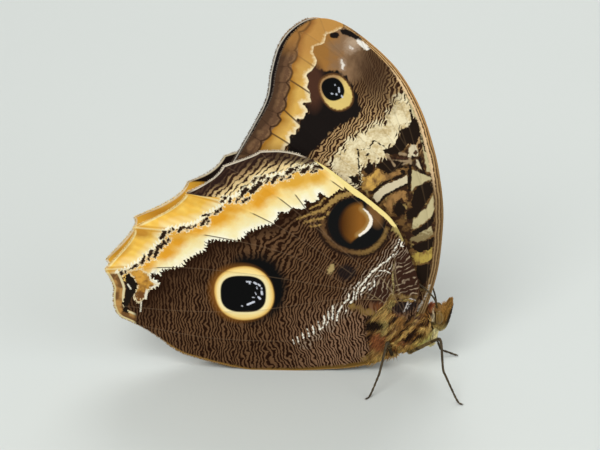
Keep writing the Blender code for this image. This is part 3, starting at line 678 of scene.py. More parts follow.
# Lines of uneven width: places along each, and half its width there.
GLEAM_ALONG, GLEAM_HALF = (0.0, 3.0, 5.5, 8.0, 9.5), (0.18, 0.42, 0.46, 0.36, 0.26)
FRONT_ALONG, FRONT_HALF = (2.0, 6.0, 10.0, 16.0, 22.0, 28.0), (0.3, 0.6, 1.3, 1.25, 1.0, 0.3)
STREAKS_ALONG, STREAKS_HALF = (5.0, 11.0, 30.0), (0.5, 1.2, 1.8)


def hind_fields(points, outline, veins):
    """The hindwing's ridges, and its markings by name for the paint to read."""
    x, z = points.T
    to_band, along_band, side_band = to_line(points, BAND_OUTER)
    to_inner, along_inner, _ = to_line(points, BAND_INNER)
    to_crescent, along_crescent, _ = to_line(points, spline(CRESCENT, 0.5))
    up = (z - LEAN_TURNS) / LEAN_OVER
    lean = (LEAN_ABOVE + LEAN_BELOW) / 2 * up + (LEAN_ABOVE - LEAN_BELOW) / 2 * np.log(np.cosh(up))
    share = rise(x + 12.0, 18.0)
    height, nearest = vein_height(points, veins, HIND_HINGE, HIND_SPAN)
    rim = to_line(points, outline, True)[0]
    golden = rise(-12.0 - x, 8.0) * rise(z - 26.0, 4.0) * rise(11.7 - rim, 9.0)
    return height, marks(points, HIND_STROKES, HIND_OVALS, HIND_OUTLINES) | {
        "rim": rim,
        "vein": nearest,
        "pleat": pleats(points, nearest, HIND_HINGE, PLEAT + MARGIN_PLEAT * golden),
        "grain": (x - LEAN_OVER * lean * share * share * (3 - 2 * share)) / LINE_PITCH,
        "crease": 0.88 * z + 0.47 * x,         # across the golden margin's ripples and their painted shade,
        "slant": (z - 1.2 * x) / 1.56,         # and across the brown margin's streaks
        "share": to_band / np.maximum(to_band + to_inner, 1e-6),
        "over_band": to_band * side_band,
        "along_band": along_band,
        "to_inner": to_inner,
        "along_inner": along_inner,
        "streaks": np.interp(x, STREAKS_ALONG, STREAKS_HALF) - to_line(points, PALE_STREAKS)[0],
        "crescent": to_crescent,
        "gleam": np.interp(along_crescent, GLEAM_ALONG, GLEAM_HALF) - to_crescent,
        "lower_arc": to_line(points, spline(LOWER_ARC, 0.5))[0],
        "front": np.interp(x, FRONT_ALONG, FRONT_HALF) - to_line(points, FRONT_LINE)[0],
    }


def wing_face(name, markings):
    """A wing face's material: its markings in rows of fine scales, which are bump."""
    paint = Paint(name, 0.7, specular=0.04)
    flat = paint.field("flat", "Vector")
    markings(paint, flat)
    return paint.finish(paint.noise(flat, 7.0, stretch=(1.0, 0.5, 1.0)), distance=0.00008, strength=0.35)


def hind_underside(paint, flat):
    field, inside, line = paint.field, paint.inside, paint.line
    cover, mark, mix = paint.cover, paint.mark, paint.mix
    x, z, _ = paint.axes(flat)
    coarse, swirl, fine, grit = (paint.noise(flat, scale) for scale in NOISE_SCALES)
    broken = paint.noise(flat, 0.9, stretch=(1.0, 0.45, 1.0))
    to_vein, to_edge, to_inner, over = field("vein"), field("rim"), field("to_inner"), field("over_band")

    # Wavy tan lines on dark brown, pinker below, and sparse pale rungs near the root.
    wander = field("grain") + 2.8 * coarse + 1.25 * swirl + 0.5 * fine
    wave = sine(2 * math.pi * wander)
    lines = inside(wave - 0.12 + 2.6 * broken, 1.1)
    cover(DARK)
    cover(TAN_LINE, lines)
    cover((0.235, 0.132, 0.074), lines * inside(19.0 - z, 8.0) * inside(x - 5.0, 14.0))
    branch = field("branch")
    upright = inside(27.5 - x, 0.6)
    rungs = (0.77 * z - 0.42 * x) * (1.0 - upright) + (x - 0.35 * z) * upright
    rungs = sine(4.9 * (rungs + 3.4 * coarse)) - 0.94 + 2.2 * broken
    cover((0.036, 0.014, 0.008), inside(branch, 1.5))
    cover((0.36, 0.27, 0.175), inside(rungs, 0.6) * inside(branch, 1.0, fine, 3.0))
    cover((0.24, 0.175, 0.08), 0.6 * line(to_vein, 0.26, 0.16) * inside(branch, 3.0, coarse, 4.0))
    mark((0.38, 0.3, 0.12), "ochre_vein", 0.3, fine, 0.8)

    # The oblique row of bright white streaks.
    white = inside(field("streaks") + 0.9 * wave, 0.4, swirl, 5.0)
    cover((0.27, 0.2, 0.14), white * inside(wave - 0.62 + 2.4 * broken, 0.6))
    mark((0.84, 0.79, 0.66), "white", 0.14, fine, 0.8, more=-0.07)

    # The pale band: orange spots, amber, then cream, its inner edge broken into slanted teeth.
    spikes = zigzag(field("along_inner") + 1.2 * fine, 0.46) * (1.9 * inside(-2.0 - x, 6.0) + 0.3)
    band = inside(field("band") - 0.4 + spikes + 1.6 * fine, 0.12, grit, 0.5)
    cover(DARK, 0.85 * inside(2.2 - to_inner, 2.6))
    cover(DARK, 0.45 * inside(7.0 - to_inner, 6.0, coarse, 6.0) * inside(-10.0 - x, 8.0))
    share = field("share") + 0.5 * coarse + 0.12 * fine
    pale = mix((0.8, 0.43, 0.075), (0.92, 0.62, 0.16), inside(share - 0.28, 0.4))
    pale = mix(pale, CREAM, inside(share - 0.6, 0.4))
    deep = mix((0.75, 0.33, 0.02), (0.72, 0.37, 0.04), inside(x, 4.0))
    pale = mix(pale, deep, 0.95 * inside(field("orange") + 0.3, 2.3, swirl, 2.0))
    pale = mix(pale, (0.97, 0.93, 0.74), inside(share - 0.9, 0.2))
    cover(mix(pale, (0.95, 0.76, 0.34), inside(x - 11.0, 2.5, coarse, 3.0)), band)
    seam = line(to_vein, 0.3, 0.14) * band * inside(field("share") - 0.62 - 0.6 * coarse, 0.12)
    cover((0.05, 0.025, 0.012), 0.85 * seam)

    # The golden margin below the third vein, with painted fold shade and a painted highlight on each vein.
    gold = mix((0.95, 0.61, 0.12), (0.91, 0.51, 0.07), inside(coarse, 0.25))
    gold = mix(gold, (0.54, 0.23, 0.025), 0.9 * inside(field("bays") + 0.2, 1.4, fine, 0.6))
    gold = mix(gold, CREAM, 0.9 * inside(2.0 - over, 2.4, coarse, 4.0))
    amber = inside(field("amber"), 0.12, fine, 0.8)
    cover(mix(gold, (0.9, 0.72, 0.32), inside(0.4 - to_edge, 0.2)), amber)
    # Painted shade across the margin's ripples, painted shade beside each vein and a painted highlight along
    # it.
    ripple_painted_shade = sine(3.4 * field("crease") + 6.0 * coarse)
    cover((0.7, 0.35, 0.045), 0.25 * amber * inside(ripple_painted_shade, 2.0))
    cover((0.6, 0.27, 0.03), 0.65 * amber * line(abs(to_vein - 0.5), 0.5, 0.4))
    cover((0.98, 0.78, 0.36), 0.8 * amber * line(to_vein, 0.34, 0.25))

    # The mottled brown margin above it.
    top = inside(field("top"), 0.1)
    across = field("slant")
    streaky = paint.noise(paint.node("CombineXYZ", across, 0.216 * x + 0.288 * z, 9.0), 0.85)
    slant = sine(5.2 * (across + 1.2 * swirl + 2.6 * coarse + 0.5 * fine))
    from_band = over + 4.0 * coarse
    streak = mix((0.86, 0.66, 0.33), (0.47, 0.305, 0.135), inside(from_band - 2.9, 2.2))
    streak = mix(streak, (0.19, 0.105, 0.052), inside(from_band - 5.2, 2.4))
    cover((0.036, 0.015, 0.008), top)
    cover(streak, top * inside(0.78 - 0.17 * from_band + slant + 4.4 * streaky, 0.9))
    cover((0.024, 0.011, 0.009), 0.8 * top * inside(2.6 - to_edge, 1.8, coarse, 4.0))

    # White teeth and slanted black dashes where the band meets the margin.
    teeth = zigzag(field("along_band") - 0.5 * over, 0.5)
    teeth = inside(1.8 * teeth - abs(over - 0.45), 0.25, fine, 1.2)
    cover((0.95, 0.88, 0.66), teeth * larger(inside(field("amber"), 0.2), top))
    dashes = field("dashes")
    cover((0.93, 0.84, 0.57), 0.8 * inside(dashes + 0.33, 0.5, fine, 2.6))
    cover((0.11, 0.048, 0.014), inside(dashes + 0.04, 0.3, fine, 1.6))
    cover((0.022, 0.011, 0.006), inside(dashes - 0.08, 0.25, fine, 1.6))

    # The tail corner: cream edge, tan strip, cream line, then black, orange and white flecks.
    corner = inside(-37.0 - x, 1.0) * inside(28.2 - z, 0.8)
    strip = mix((0.46, 0.24, 0.07), (0.17, 0.08, 0.028), inside(coarse, 0.12))
    strip = mix(strip, (0.72, 0.62, 0.36), line(abs(to_edge - 2.35), 0.6, 0.2))
    strip = mix(strip, (0.66, 0.54, 0.27), inside(0.42 - to_edge, 0.15))
    cover(strip, corner * inside(2.7 - to_edge, 0.2))
    tail = mix((0.7, 0.35, 0.055), (0.16, 0.065, 0.018), inside(25.6 - z + 14.0 * swirl, 5.5))
    mark((0.8, 0.66, 0.4), "tail_orange", 0.3, fine, 2.2, more=0.3)
    mark(tail, "tail_orange", 0.5, fine, 2.4, more=-0.15)
    mark((0.012, 0.008, 0.005), "tail_black", 0.2, fine, 1.6)
    mark((0.8, 0.74, 0.58), "tail_white", 0.15, grit, 0.6)

    # Spots and streaks at the root, under the long hairs.
    dim = 1.0 - 0.5 * lines
    cover((0.15, 0.052, 0.018), dim * inside(field("base_rust"), 1.6, broken, 3.0))
    cover((0.24, 0.145, 0.04), dim * inside(field("base_ochre"), 0.9, broken, 2.6))
    cover((0.012, 0.008, 0.008), 0.9 * inside(field("base_dark"), 1.3, fine, 1.5))
    mark((0.55, 0.5, 0.46), "base_white", 0.2, fine, 0.8)
    mark((0.4, 0.29, 0.12), "blotch", 0.4, fine, 1.2)

    # The great eyespot: black halo, chestnut glow, yellow ring, black pupil and its bluish sparks.
    ring, pupil = field("ring"), field("pupil")
    mark(BLACK, "halo", 2.4, coarse, 2.0)
    cover((0.2, 0.075, 0.012), inside(ring - 0.6 - 0.1 * x, 1.7))
    yellow = mix((0.8, 0.48, 0.12), (0.95, 0.72, 0.28), inside(ring - 0.45, 0.7))
    cover(mix(yellow, (0.95, 0.8, 0.42), inside(pupil + 0.7, 0.7)), inside(ring, 0.4))
    cover(BLACK, inside(pupil, 0.3))
    mark((0.66, 0.68, 0.76), "sparks", 0.2, grit, 0.5)

    # The brown eyespot under the front edge.
    lower = mix((0.125, 0.062, 0.024), (0.21, 0.122, 0.038), inside(x - 18.0, 5.0))
    cover((0.02, 0.009, 0.005), inside(1.5 - field("lower_arc"), 0.8))
    cover(lower, inside(0.55 - field("lower_arc"), 0.7, fine, 1.4))
    mark((0.36, 0.22, 0.066), "above_brown", 0.4, fine, 1.6)
    mark((0.006, 0.006, 0.006), "black_ring", 0.5)
    mark((0.17, 0.08, 0.026), "beyond", 1.3)
    brown = mix((0.06, 0.02, 0.004), (0.27, 0.105, 0.016), inside(x - 16.6, 4.6))
    brown = mix(brown, (0.4, 0.24, 0.075), inside(0.9 - field("crescent"), 1.0))
    cover(brown, inside(field("chestnut"), 1.1) * inside(field("lens"), 0.5))
    mark((0.95, 0.86, 0.74), "gleam", 0.24, fine, 0.4, more=-0.02)

    # The cream line and olive patch at the front, then the edges and the pale veins.
    front = mix((0.62, 0.5, 0.34), (0.9, 0.73, 0.28), inside(x - 5.6, 3.0))
    mark(front, "front", 0.15, fine, 0.25)
    mark((0.38, 0.29, 0.095), "olive", 0.6, broken, 3.0)
    cover((0.66, 0.57, 0.44), inside(z - 51.5, 1.0) * inside(5.0 - x, 2.0) * line(to_edge, 0.5, 0.12))
    low = inside(8.0 - z, 2.0)
    cover((0.13, 0.07, 0.015), low * inside(0.7 + 0.025 * x - to_edge, 0.5, fine, 1.5))
    cover((0.34, 0.19, 0.05), 0.8 * low * line(to_edge, 0.55, 0.3))
    cover((0.22, 0.14, 0.08), 0.5 * line(to_vein, 0.26, 0.16) * inside(0.0 - band, 0.9))


def hind_upperside(paint, flat):
    x, z, _ = paint.axes(flat)
    to_edge = paint.field("rim")
    paint.cover((0.018, 0.01, 0.008))
    paint.cover((0.035, 0.045, 0.13), 0.7 * paint.inside(0.6 * x - 2.0, 16.0))
    gold = paint.inside(8.5 - to_edge, 2.5, paint.noise(flat, 1.2), 3.0)
    paint.cover((0.8, 0.44, 0.05), gold * paint.inside(51.2 - z, 0.5) * paint.inside(-18.0 - x, 5.0))
    paint.cover((0.88, 0.74, 0.48), paint.line(to_edge, 0.6, 0.2))


under_paint = wing_face("hindwing_underside_scales", hind_underside)
upper_paint = wing_face("hindwing_upperside_scales", hind_upperside)
hind_rim = np.vstack((spline(HIND_FRONT_EDGE, MESH_STEP)[:-1], toothed_edge(HIND_TEETH, MESH_STEP),
                      spline(HIND_LOWER_EDGE, MESH_STEP)))
hind_rim[:, 1] = np.maximum(hind_rim[:, 1] - HIND_SAG, 0.0)
hind_rim = np.vstack((hind_rim, spline((hind_rim[-1], hind_rim[0]), MESH_STEP)[1:-1]))
hind_flat, hind_triangles = wing_sheet(hind_rim, HIND_VEINS, MESH_STEP)
hind_ridge, hind_marks = hind_fields(hind_flat, hind_rim, HIND_VEINS)
for side, name in ((-1, "wing_hind_right"), (1, "wing_hind_left")):
    wing = build_wing(name, hind_flat, hind_triangles, hind_ridge, hind_bow, side, 0.0, HIND_HINGE,
                      dict(hind_marks), (under_paint, upper_paint))
    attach(wing, "root")
    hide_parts(name)

# ---------------------------------------------------------------------------------------------
# Forewings: the same veined, scaled cuticle, stiff along the front edge, where the veins run
# close together. They stand between the hindwings, the left one folded a little further back.
FORE_HINGE = (35.3, 19.0)
FORE_SPAN = 80.0
FORE_SWEEP = math.radians(1.2)
FORE_PITCH = 1.05             # spacing of its fine wavy lines
FORE_OUT = 0.72               # how far its middle surface stands out from the midplane,
FORE_BULGE = (1.0, 32.0)      # how much more near the body, and how far from the hinge
FORE_EDGE = (
    (35, 15.6), (36.2, 19.4), (37, 22.6), (38.3, 29), (39, 37), (39.15, 45.3), (38.2, 53.6), (36.5, 61.9),
    (33, 72.8), (27.9, 82.3), (22.1, 88.9), (15.1, 94.6), (8.9, 96.6), (3.9, 94), (0.6, 89.4), (-1.3, 82.8),
    (-2.5, 75.8), (-5.9, 68.6), (-9.8, 61.3), (-12.4, 55.9), (-11.2, 52.6), (-2, 47), (14, 36), (26, 26.4),
    (30.8, 20.6), (31.4, 15))
FORE_VEINS = (
    ((34.6, 17.5), (36.2, 24), (37.2, 32), (37.4, 45), (35.6, 58), (33, 68), (31.4, 75.7)),
    ((34.6, 17.5), (35.6, 26), (35.6, 38), (34.4, 49), (30.2, 62)),
    ((34.4, 49), (31.4, 64), (27.8, 76), (24.8, 85.8)), ((30.2, 62), (26, 74), (21.6, 83.6), (17.8, 92.6)),
    ((30.2, 62), (23.8, 73), (17, 84), (11.4, 90.6), (8.9, 96.6)), ((17, 84), (9.4, 90), (3.9, 94)),
    ((29.4, 60), (22, 70), (12.6, 80), (0.6, 89.4)), ((26.4, 56), (17.5, 66.5), (8, 76), (-1.3, 82.8)),
    ((30.2, 62), (29.4, 60), (26.4, 56), (22, 52.6), (17.5, 50.5)),
    ((34.6, 17.5), (31, 27.5), (24.5, 38), (17.5, 50.5)),
    ((22, 52.6), (12.4, 61), (4.5, 68.5), (-2.5, 75.8)),
    ((17.5, 50.5), (9.5, 57), (1.5, 63.6), (-5.9, 68.6)),
    ((24.5, 38), (14, 46.6), (2.5, 54.5), (-9.8, 61.3)),
    ((34.6, 17.5), (27.5, 28.4), (16, 38), (2, 48), (-12.4, 55.9)))

# Its underside markings. The first two lines run down the inner sides of its marginal bands.
LOBE_LINE = (
    (6.8, 95.6), (4.6, 92.6), (3.6, 90), (3.8, 88), (3.2, 86), (2.2, 84.5), (2.4, 82.5), (1.8, 80.5),
    (1.8, 78.5), (1.2, 76.8), (1.2, 75.5), (0.8, 73.5), (0, 72.2), (-0.5, 71), (-0.3, 70), (-1.3, 68.5),
    (-2.5, 67.3), (-2.8, 66), (-4, 64.5), (-5, 63), (-8, 58))
OCHRE_LINE = (
    (13.5, 93.8), (12, 93), (10.3, 92.5), (10, 90.3), (7.5, 89.3), (7.2, 88), (8.2, 86), (7.8, 84),
    (6, 82.2), (6.2, 80), (6.3, 78), (7, 76), (6.8, 74.8), (5.3, 74.2), (6.2, 72), (5, 70.3), (3.8, 70),
    (4.2, 68), (3, 66), (2.2, 66), (1.8, 64), (1, 62.5), (-3, 57))
FAR_EDGE = ((-30.0, 58.0), (-30.0, 110.0), (6.8, 110.0))
COMMAS = (((15.8, 89.3), (16.6, 88.7)), ((14, 85.8), (14.4, 84.8), (14.2, 83.6)))
STREAKED_UP, STREAKED_WIDTH = (20.0, 45.0, 60.0, 76.0, 88.0, 94.0), (1.7, 2.1, 1.9, 1.5, 1.0, 0.6)
FORE_STROKES = {
    "black_strokes": (
        (30.5, 72.6, 31.3, 69, 0.5), (32.2, 71.4, 32.6, 68, 0.5), (33, 66.5, 34.4, 61.6, 0.5),
        (31.9, 61.3, 32, 61.4, 0.9), (31.2, 60.2, 32.8, 60, 0.5), (32.8, 60, 34.4, 55.4, 0.5),
        (34.4, 55.4, 31.6, 57.6, 0.5), (31.6, 57.6, 31.2, 60.2, 0.4), (30.8, 58.2, 30.6, 51, 0.8),
        (27.2, 58.6, 29.8, 57.2, 0.5), (27, 59.6, 30.6, 58.8, 0.5), (28.8, 56.2, 29.6, 55.4, 0.9),
        (21.8, 50.3, 24.2, 52.7, 0.6), (24.2, 52.7, 26.5, 53.9, 0.5), (26.5, 53.9, 29.6, 55.3, 0.6),
        (23.4, 47.2, 24.9, 49.4, 0.6), (24.9, 49.4, 27.2, 50.9, 0.6), (27.2, 50.9, 30, 52.4, 0.6),
        (20.6, 62.2, 22, 64.5, 0.35), (19, 62, 20.6, 62.3, 0.3), (20.2, 60.6, 20.8, 61, 0.5),
        (22, 64.5, 25, 62.2, 0.3), (18.1, 62.2, 18.4, 57.5, 0.3), (18.4, 57.5, 18.9, 52.4, 0.35)),
    "tan_strokes": (
        (25.1, 60.6, 27, 57.8, 0.55), (26.4, 59.3, 28.4, 59, 0.4), (28.4, 59, 30.8, 58.9, 0.45),
        (28.8, 57.9, 30.6, 58.8, 0.28), (28.5, 60.9, 29.6, 60.7, 0.9), (30.6, 59.6, 30.9, 58.2, 0.5)),
    "dark_strokes": ((27.4, 59.7, 29.9, 59.7, 0.35), (31.9, 61.3, 31.95, 61.4, 0.8)),
    "root_white": (
        (33.4, 17, 34.6, 19.6, 0.42), (34.6, 19.6, 35.9, 22.6, 0.38), (35.9, 22.6, 36.3, 24.6, 0.25)),
    "sparks": (
        (12.5, 79.4, 12.5, 79.3, 0.35), (13.4, 78.6, 13.5, 77.4, 0.35), (12.8, 76.9, 12.9, 76.7, 0.4),
        (11.7, 77, 11.9, 76.9, 0.4), (14.1, 76.5, 14.3, 76, 0.35)),
}
FORE_OVALS = {
    "pupil": (((12, 78.2), (2.6, 3.15), 22, 2.2),),
    "ring": (((12.75, 77.35), (3.45, 4.75), 26, 2.2),),
    "apex": (((12.8, 87.6), (6.0, 8.4), 38.0, 2.3),),
    "shade": (((21.8, 82.5), (3.2, 6.4), 16.0),),
    "polish": (((16.7, 90.2), (1.5, 2.2), -30.0),),
    "rust": (((7.6, 79.0), (2.2, 6.0)),),
    "tip_white": (((18.9, 89.9), (1.9, 0.65), -42.0),),
    "tip_spot": (((12.3, 92.3), (1.1, 0.8)),),
}
FORE_OUTLINES = {
    "lobes": (LOBE_LINE + FAR_EDGE,),
    "ochre_band": (OCHRE_LINE + FAR_EDGE[:2] + ((12.0, 110.0), (14.5, 94.4)),),
    "surround": (OCHRE_LINE[7:21] + ((1.0, 61.0), (4.0, 59.0), (7.0, 61.0), (9.0, 63.0), (11.5, 66.5),
                                     (15.0, 69.4), (17.6, 70.6), (18.8, 73.2), (18.0, 76.0), (16.6, 79.0),
                                     (15.0, 81.6), (12.5, 83.1), (10.0, 83.2)),),
    "root_ground": (
        ((17, 50), (19, 58), (24, 62), (30, 63), (35.5, 60), (38.5, 48), (38, 30), (36, 22), (28, 26)),),
    "cream": (
        ((28.5, 77), (31.5, 72), (32, 69), (30.5, 68), (29, 67.8), (28, 66), (27.3, 63.5), (25.5, 62),
         (24.5, 59.5), (23, 59), (22, 58), (20.5, 58.5), (19, 57), (18.5, 55), (18, 52), (14, 52.8),
         (11.5, 58), (13, 61), (15.5, 64), (18, 66.5), (20, 67.5), (24, 70), (26, 73.5), (27, 76)),),
    "tip_black": (
        ((13.6, 93.6), (15, 93.9), (17, 92.8), (18.8, 91.3), (18.2, 90.7), (15.8, 92), (14, 92.6)),),
    "black_marks": (
        ((28, 67.3), (30, 68), (31, 70.2), (32.3, 70.2), (33, 67.5), (32.8, 65.3), (32, 63.5), (30, 63.6),
         (28.5, 61), (26, 60.5), (24.3, 61), (24.3, 62), (25.5, 62.3), (27, 63.2), (27.5, 64.5), (28.3, 66)),
        ((24.6, 57.6), (27.4, 59.4), (29.6, 58.6), (29.4, 57.2), (26.6, 56.4), (24.6, 55.6)),
        ((24.5, 60), (25.3, 59.2), (27, 58.2), (27.3, 56.4), (25.3, 55.4), (23.4, 57), (22.4, 58),
         (24, 58.6)),
        ((19.6, 56.5), (21, 58.6), (22, 57.8), (21.8, 56), (20.5, 55)),
        ((15.8, 54.6), (18.3, 54.9), (18.5, 52.8), (17.5, 52.3)),
        ((33.5, 52.5), (36.3, 53.6), (36.8, 51), (35.5, 48.7), (34, 46), (32.5, 43.5), (31, 42.6),
         (29.8, 44.2), (30.3, 45.3), (31.3, 45.8), (31.3, 48), (31.8, 50), (32.3, 51.7)),
        ((31.2, 39.2), (33, 40.5), (35, 42), (36.7, 44.2), (37, 42.5), (35.5, 40.8), (34, 39.5),
         (32.3, 38.2)),
        ((31.5, 35.5), (34, 36.5), (37, 38.2), (37.2, 35.8), (35.5, 34.3), (33.5, 33.7), (32, 34.5)),
        ((27, 46), (28.3, 48.3), (29.6, 46.5), (29.8, 44.4), (28, 43.6), (27.2, 44.6)),
        ((33, 30), (37, 30.6), (36.8, 27), (34.5, 24.5), (33, 27))),
    "cream_marks": (
        ((30.2, 60), (30.4, 62.4), (31, 63.5), (32.1, 63.2), (32.5, 61.6), (32.8, 60.3), (31.3, 59.9)),
        ((22.2, 50), (23.5, 51.2), (24.5, 52.2), (26, 53), (27.5, 53.6), (29.3, 54.5), (30, 55.3),
         (30.3, 53), (29.5, 52.3), (27.5, 51.3), (26.5, 50.3), (25, 49.7), (24.3, 48.5), (23, 47.5),
         (22, 48.8)),
        ((32.2, 59.5), (32.6, 59.4), (33.6, 56.6), (32.2, 57.8)),
        ((17.5, 91.3), (20.5, 88.5), (19.5, 88.3), (17, 90.5))),
    "grey_marks": (
        ((31.3, 40.2), (32, 42.5), (33.5, 45), (35, 46.2), (36, 48.3), (36.9, 49.8), (37, 46), (36.2, 43.8),
         (34.5, 42), (33, 40.8), (32, 40)),
        ((31.3, 56.5), (34.5, 55.3), (36.2, 54.3), (35, 53.3), (33, 52.5), (31.7, 51.5), (31.2, 50.5)),
        ((28.5, 79), (30.3, 79), (33.4, 70), (35.2, 62), (36, 56), (34.9, 56), (33.7, 62), (32.9, 67),
         (31.5, 71)),
        ((31, 37.3), (33, 39), (36.3, 41), (36.9, 38.6), (35, 37.1), (33, 36.6))),
    "ochre_marks": (
        ((19.2, 54.5), (20.6, 54.6), (22, 55.6), (22.8, 57), (24.5, 55.3), (27, 56.2), (29.2, 57),
         (29.4, 55.6), (26.4, 54.4), (24, 53.2), (21.6, 50.8), (19.2, 51)),
        ((32, 33), (33.5, 34.3), (36.5, 35.3), (37.2, 32.5), (35.5, 31), (33, 30.5), (32, 31.8)),
        ((24.6, 47.2), (25.6, 49), (28, 50.6), (30, 50.6), (30.2, 47.6), (28.6, 48.8), (27, 47),
         (26.2, 44.6))),
}


def fore_bow(points):
    """Distance of a forewing's middle surface from the midplane."""
    return FORE_OUT + FORE_BULGE[0] * np.exp(-(from_hinge(points, FORE_HINGE) / FORE_BULGE[1]) ** 2)


def fore_fields(points, outline, veins):
    """The forewing's ridges, and its markings by name for the paint to read."""
    x, z = points.T
    height, nearest = vein_height(points, veins, FORE_HINGE, FORE_SPAN)
    slope = np.interp(x, (14.0, 24.0), (0.62, 0.25))
    to_ochre, along_ochre, _ = to_line(points, OCHRE_LINE)
    along_lobes = to_line(points, LOBE_LINE)[1]
    to_front = to_line(points, spline(FORE_EDGE[:12], 1.0))[0]
    found = marks(points, FORE_STROKES, FORE_OVALS, FORE_OUTLINES)
    found["black_marks"] = np.maximum(found["black_marks"], found.pop("black_strokes"))
    found["tip_black"] = np.maximum(found["tip_black"], found.pop("tip_spot"))
    return height, found | {
        "rim": to_line(points, outline, True)[0],
        "vein": nearest,
        "pleat": pleats(points, nearest, FORE_HINGE, PLEAT),
        "grain": (x - slope * (z - 60.0)) / FORE_PITCH,
        "scallop": np.abs(np.mod(along_lobes + 0.9, 4.5) / 2.25 - 1.0),
        "bulge": np.abs(np.mod(along_ochre + 0.4, 2.9) / 1.45 - 1.0),
        "to_ochre_line": to_ochre,
        "commas": 0.32 - np.minimum(*(to_line(points, comma)[0] for comma in COMMAS)),
        "front": to_front / np.interp(z, STREAKED_UP, STREAKED_WIDTH),
    }


def fore_underside(paint, flat):
    field, inside, line = paint.field, paint.inside, paint.line
    cover, mark, mix = paint.cover, paint.mark, paint.mix
    x, z, _ = paint.axes(flat)
    coarse, swirl, fine, grit = (paint.noise(flat, scale) for scale in NOISE_SCALES)
    broken = paint.noise(flat, 0.8, stretch=(1.0, 0.5, 1.0))

    # Slanting tan lines on dark brown, and a smoother brown and ochre ground near the root.
    wander = field("grain") + 3.4 * coarse + 1.7 * swirl + 0.5 * fine
    wave = sine(2 * math.pi * wander)
    lighter = mix((0.2, 0.11, 0.046), (0.42, 0.26, 0.115), inside(field("cream") + 6.0, 4.0))
    cover((0.028, 0.011, 0.005))
    cover(lighter, inside(wave + 3.0 * broken, 0.8))
    root = inside(field("root_ground"), 1.0, fine, 2.0)
    cover((0.16, 0.083, 0.027), root)
    cover((0.036, 0.016, 0.008), root * inside(3.0 * swirl + 0.12, 0.5))
    cover((0.3, 0.205, 0.07), root * inside(5.0 * broken - 0.75, 0.6))

    # The cream band and the cream, grey, ochre and black marks between it and the front edge.
    cream = mix((0.86, 0.75, 0.49), (0.58, 0.44, 0.22), inside(4.0 * coarse - 0.1 + 3.0 * fine, 1.4))
    cover(cream, inside(field("cream") + 0.8 * wave, 0.7, broken, 5.0))
    patch = mix((0.62, 0.36, 0.085), (0.34, 0.18, 0.06), inside(x - 23.5, 3.0, coarse, 4.0))
    patch = mix(patch, (0.46, 0.33, 0.07), inside(38.0 - z, 4.0))
    patch = mix(patch, (0.16, 0.08, 0.028), inside(5.0 * broken - 0.35, 1.2))
    mark(patch, "ochre_marks", 0.5, fine, 2.0)
    grey = mix((0.54, 0.46, 0.25), (0.24, 0.18, 0.08), inside(40.0 - z + 6.0 * fine, 3.0))
    mark(grey, "grey_marks", 0.3, broken, 1.4)
    mark((0.66, 0.56, 0.37), "cream_marks", 0.2, fine, 0.9)
    mark((0.014, 0.008, 0.005), "black_marks", 0.2, fine, 1.1)
    mark((0.33, 0.23, 0.13), "tan_strokes", 0.3, broken, 1.0)
    mark((0.06, 0.024, 0.014), "dark_strokes", 0.2, fine, 0.6)

    # The mauve-brown tip with its white commas, a painted highlight and painted shade on it, and the black
    # round the eyespot.
    tip = mix((0.25, 0.145, 0.075), (0.33, 0.15, 0.036), inside(12.0 - x + 8.0 * coarse, 4.0))
    mark(tip, "apex", 2.2, coarse, 2.5)
    # Painted shade over the tip's far side, then a painted highlight: a reflection near its front edge.
    cover((0.05, 0.024, 0.012), 0.8 * inside(field("shade") + 1.0, 4.5, broken, 5.0))
    cover((0.56, 0.41, 0.28), 0.7 * inside(field("polish"), 1.8, fine, 1.2))
    mark((0.01, 0.007, 0.006), "surround", 0.5, broken, 2.6)
    cover((0.075, 0.03, 0.017), 0.9 * inside(field("rust"), 1.6))
    mark((0.36, 0.25, 0.17), "commas", 0.9, fine, 1.0, more=0.3)
    mark((0.8, 0.73, 0.64), "commas", 0.3, fine, 1.0, more=-0.08)

    # The ochre band with its cream scallops, crossed by dark veins, then the brown lobes outside it.
    high = inside(z - 83.5, 9.0)
    outer = field("lobes")
    hollow = field("bulge") ** 2.0 * (0.5 - 0.4 * high)
    ochre = mix((0.7, 0.42, 0.1), (0.4, 0.18, 0.025), inside(outer + 1.4, 2.2, coarse, 2.5))
    dull = mix((0.5, 0.25, 0.062), (0.33, 0.14, 0.034), inside(outer + 1.0, 1.6, coarse, 2.5))
    scallops = inside(0.85 - 0.6 * high + hollow - field("to_ochre_line"), 0.9, fine, 1.2)
    ochre = mix(mix(ochre, dull, high), (0.86, 0.7, 0.42), scallops)
    cover(ochre, inside(field("ochre_band") - hollow, 0.2, fine, 0.4))
    dark_vein = line(field("vein"), 0.42, 0.15) * inside(field("ochre_band"), 0.2) * (1.0 - high)
    cover((0.05, 0.02, 0.008), 0.8 * dark_vein)
    notch = field("scallop") ** 3.0
    lobe = mix((0.075, 0.038, 0.02), (0.265, 0.145, 0.068), inside(2.2 - notch - outer, 1.6, coarse, 3.0))
    lobe = mix(lobe, (0.13, 0.066, 0.034), inside(0.7 - abs(outer - 1.25), 0.9, fine, 2.0))
    lobe = mix(lobe, (0.37, 0.17, 0.042), 0.85 * inside(z - 89.0, 5.0))
    cover(lobe, inside(outer, 0.1))
    between = inside(field("scallop") - 0.94, 0.06) * inside(outer, 0.2)
    border = larger(line(abs(outer - 0.9 * notch), 0.55, 0.3), 0.6 * between)
    cover((0.03, 0.012, 0.006), border * (0.85 - 0.35 * high))

    # The small eyespot: a ring that thickens on one side, black pupil and sparks.
    ring = mix((0.42, 0.245, 0.105), (0.72, 0.53, 0.17), inside(x - 11.8 - 0.8 * (z - 78.0), 4.0))
    mark((0.15, 0.065, 0.02), "ring", 0.5, more=0.3)
    mark(ring, "ring", 0.3, fine, 0.5)
    mark(BLACK, "pupil", 0.25)
    mark((0.6, 0.63, 0.72), "sparks", 0.2, grit, 0.5)

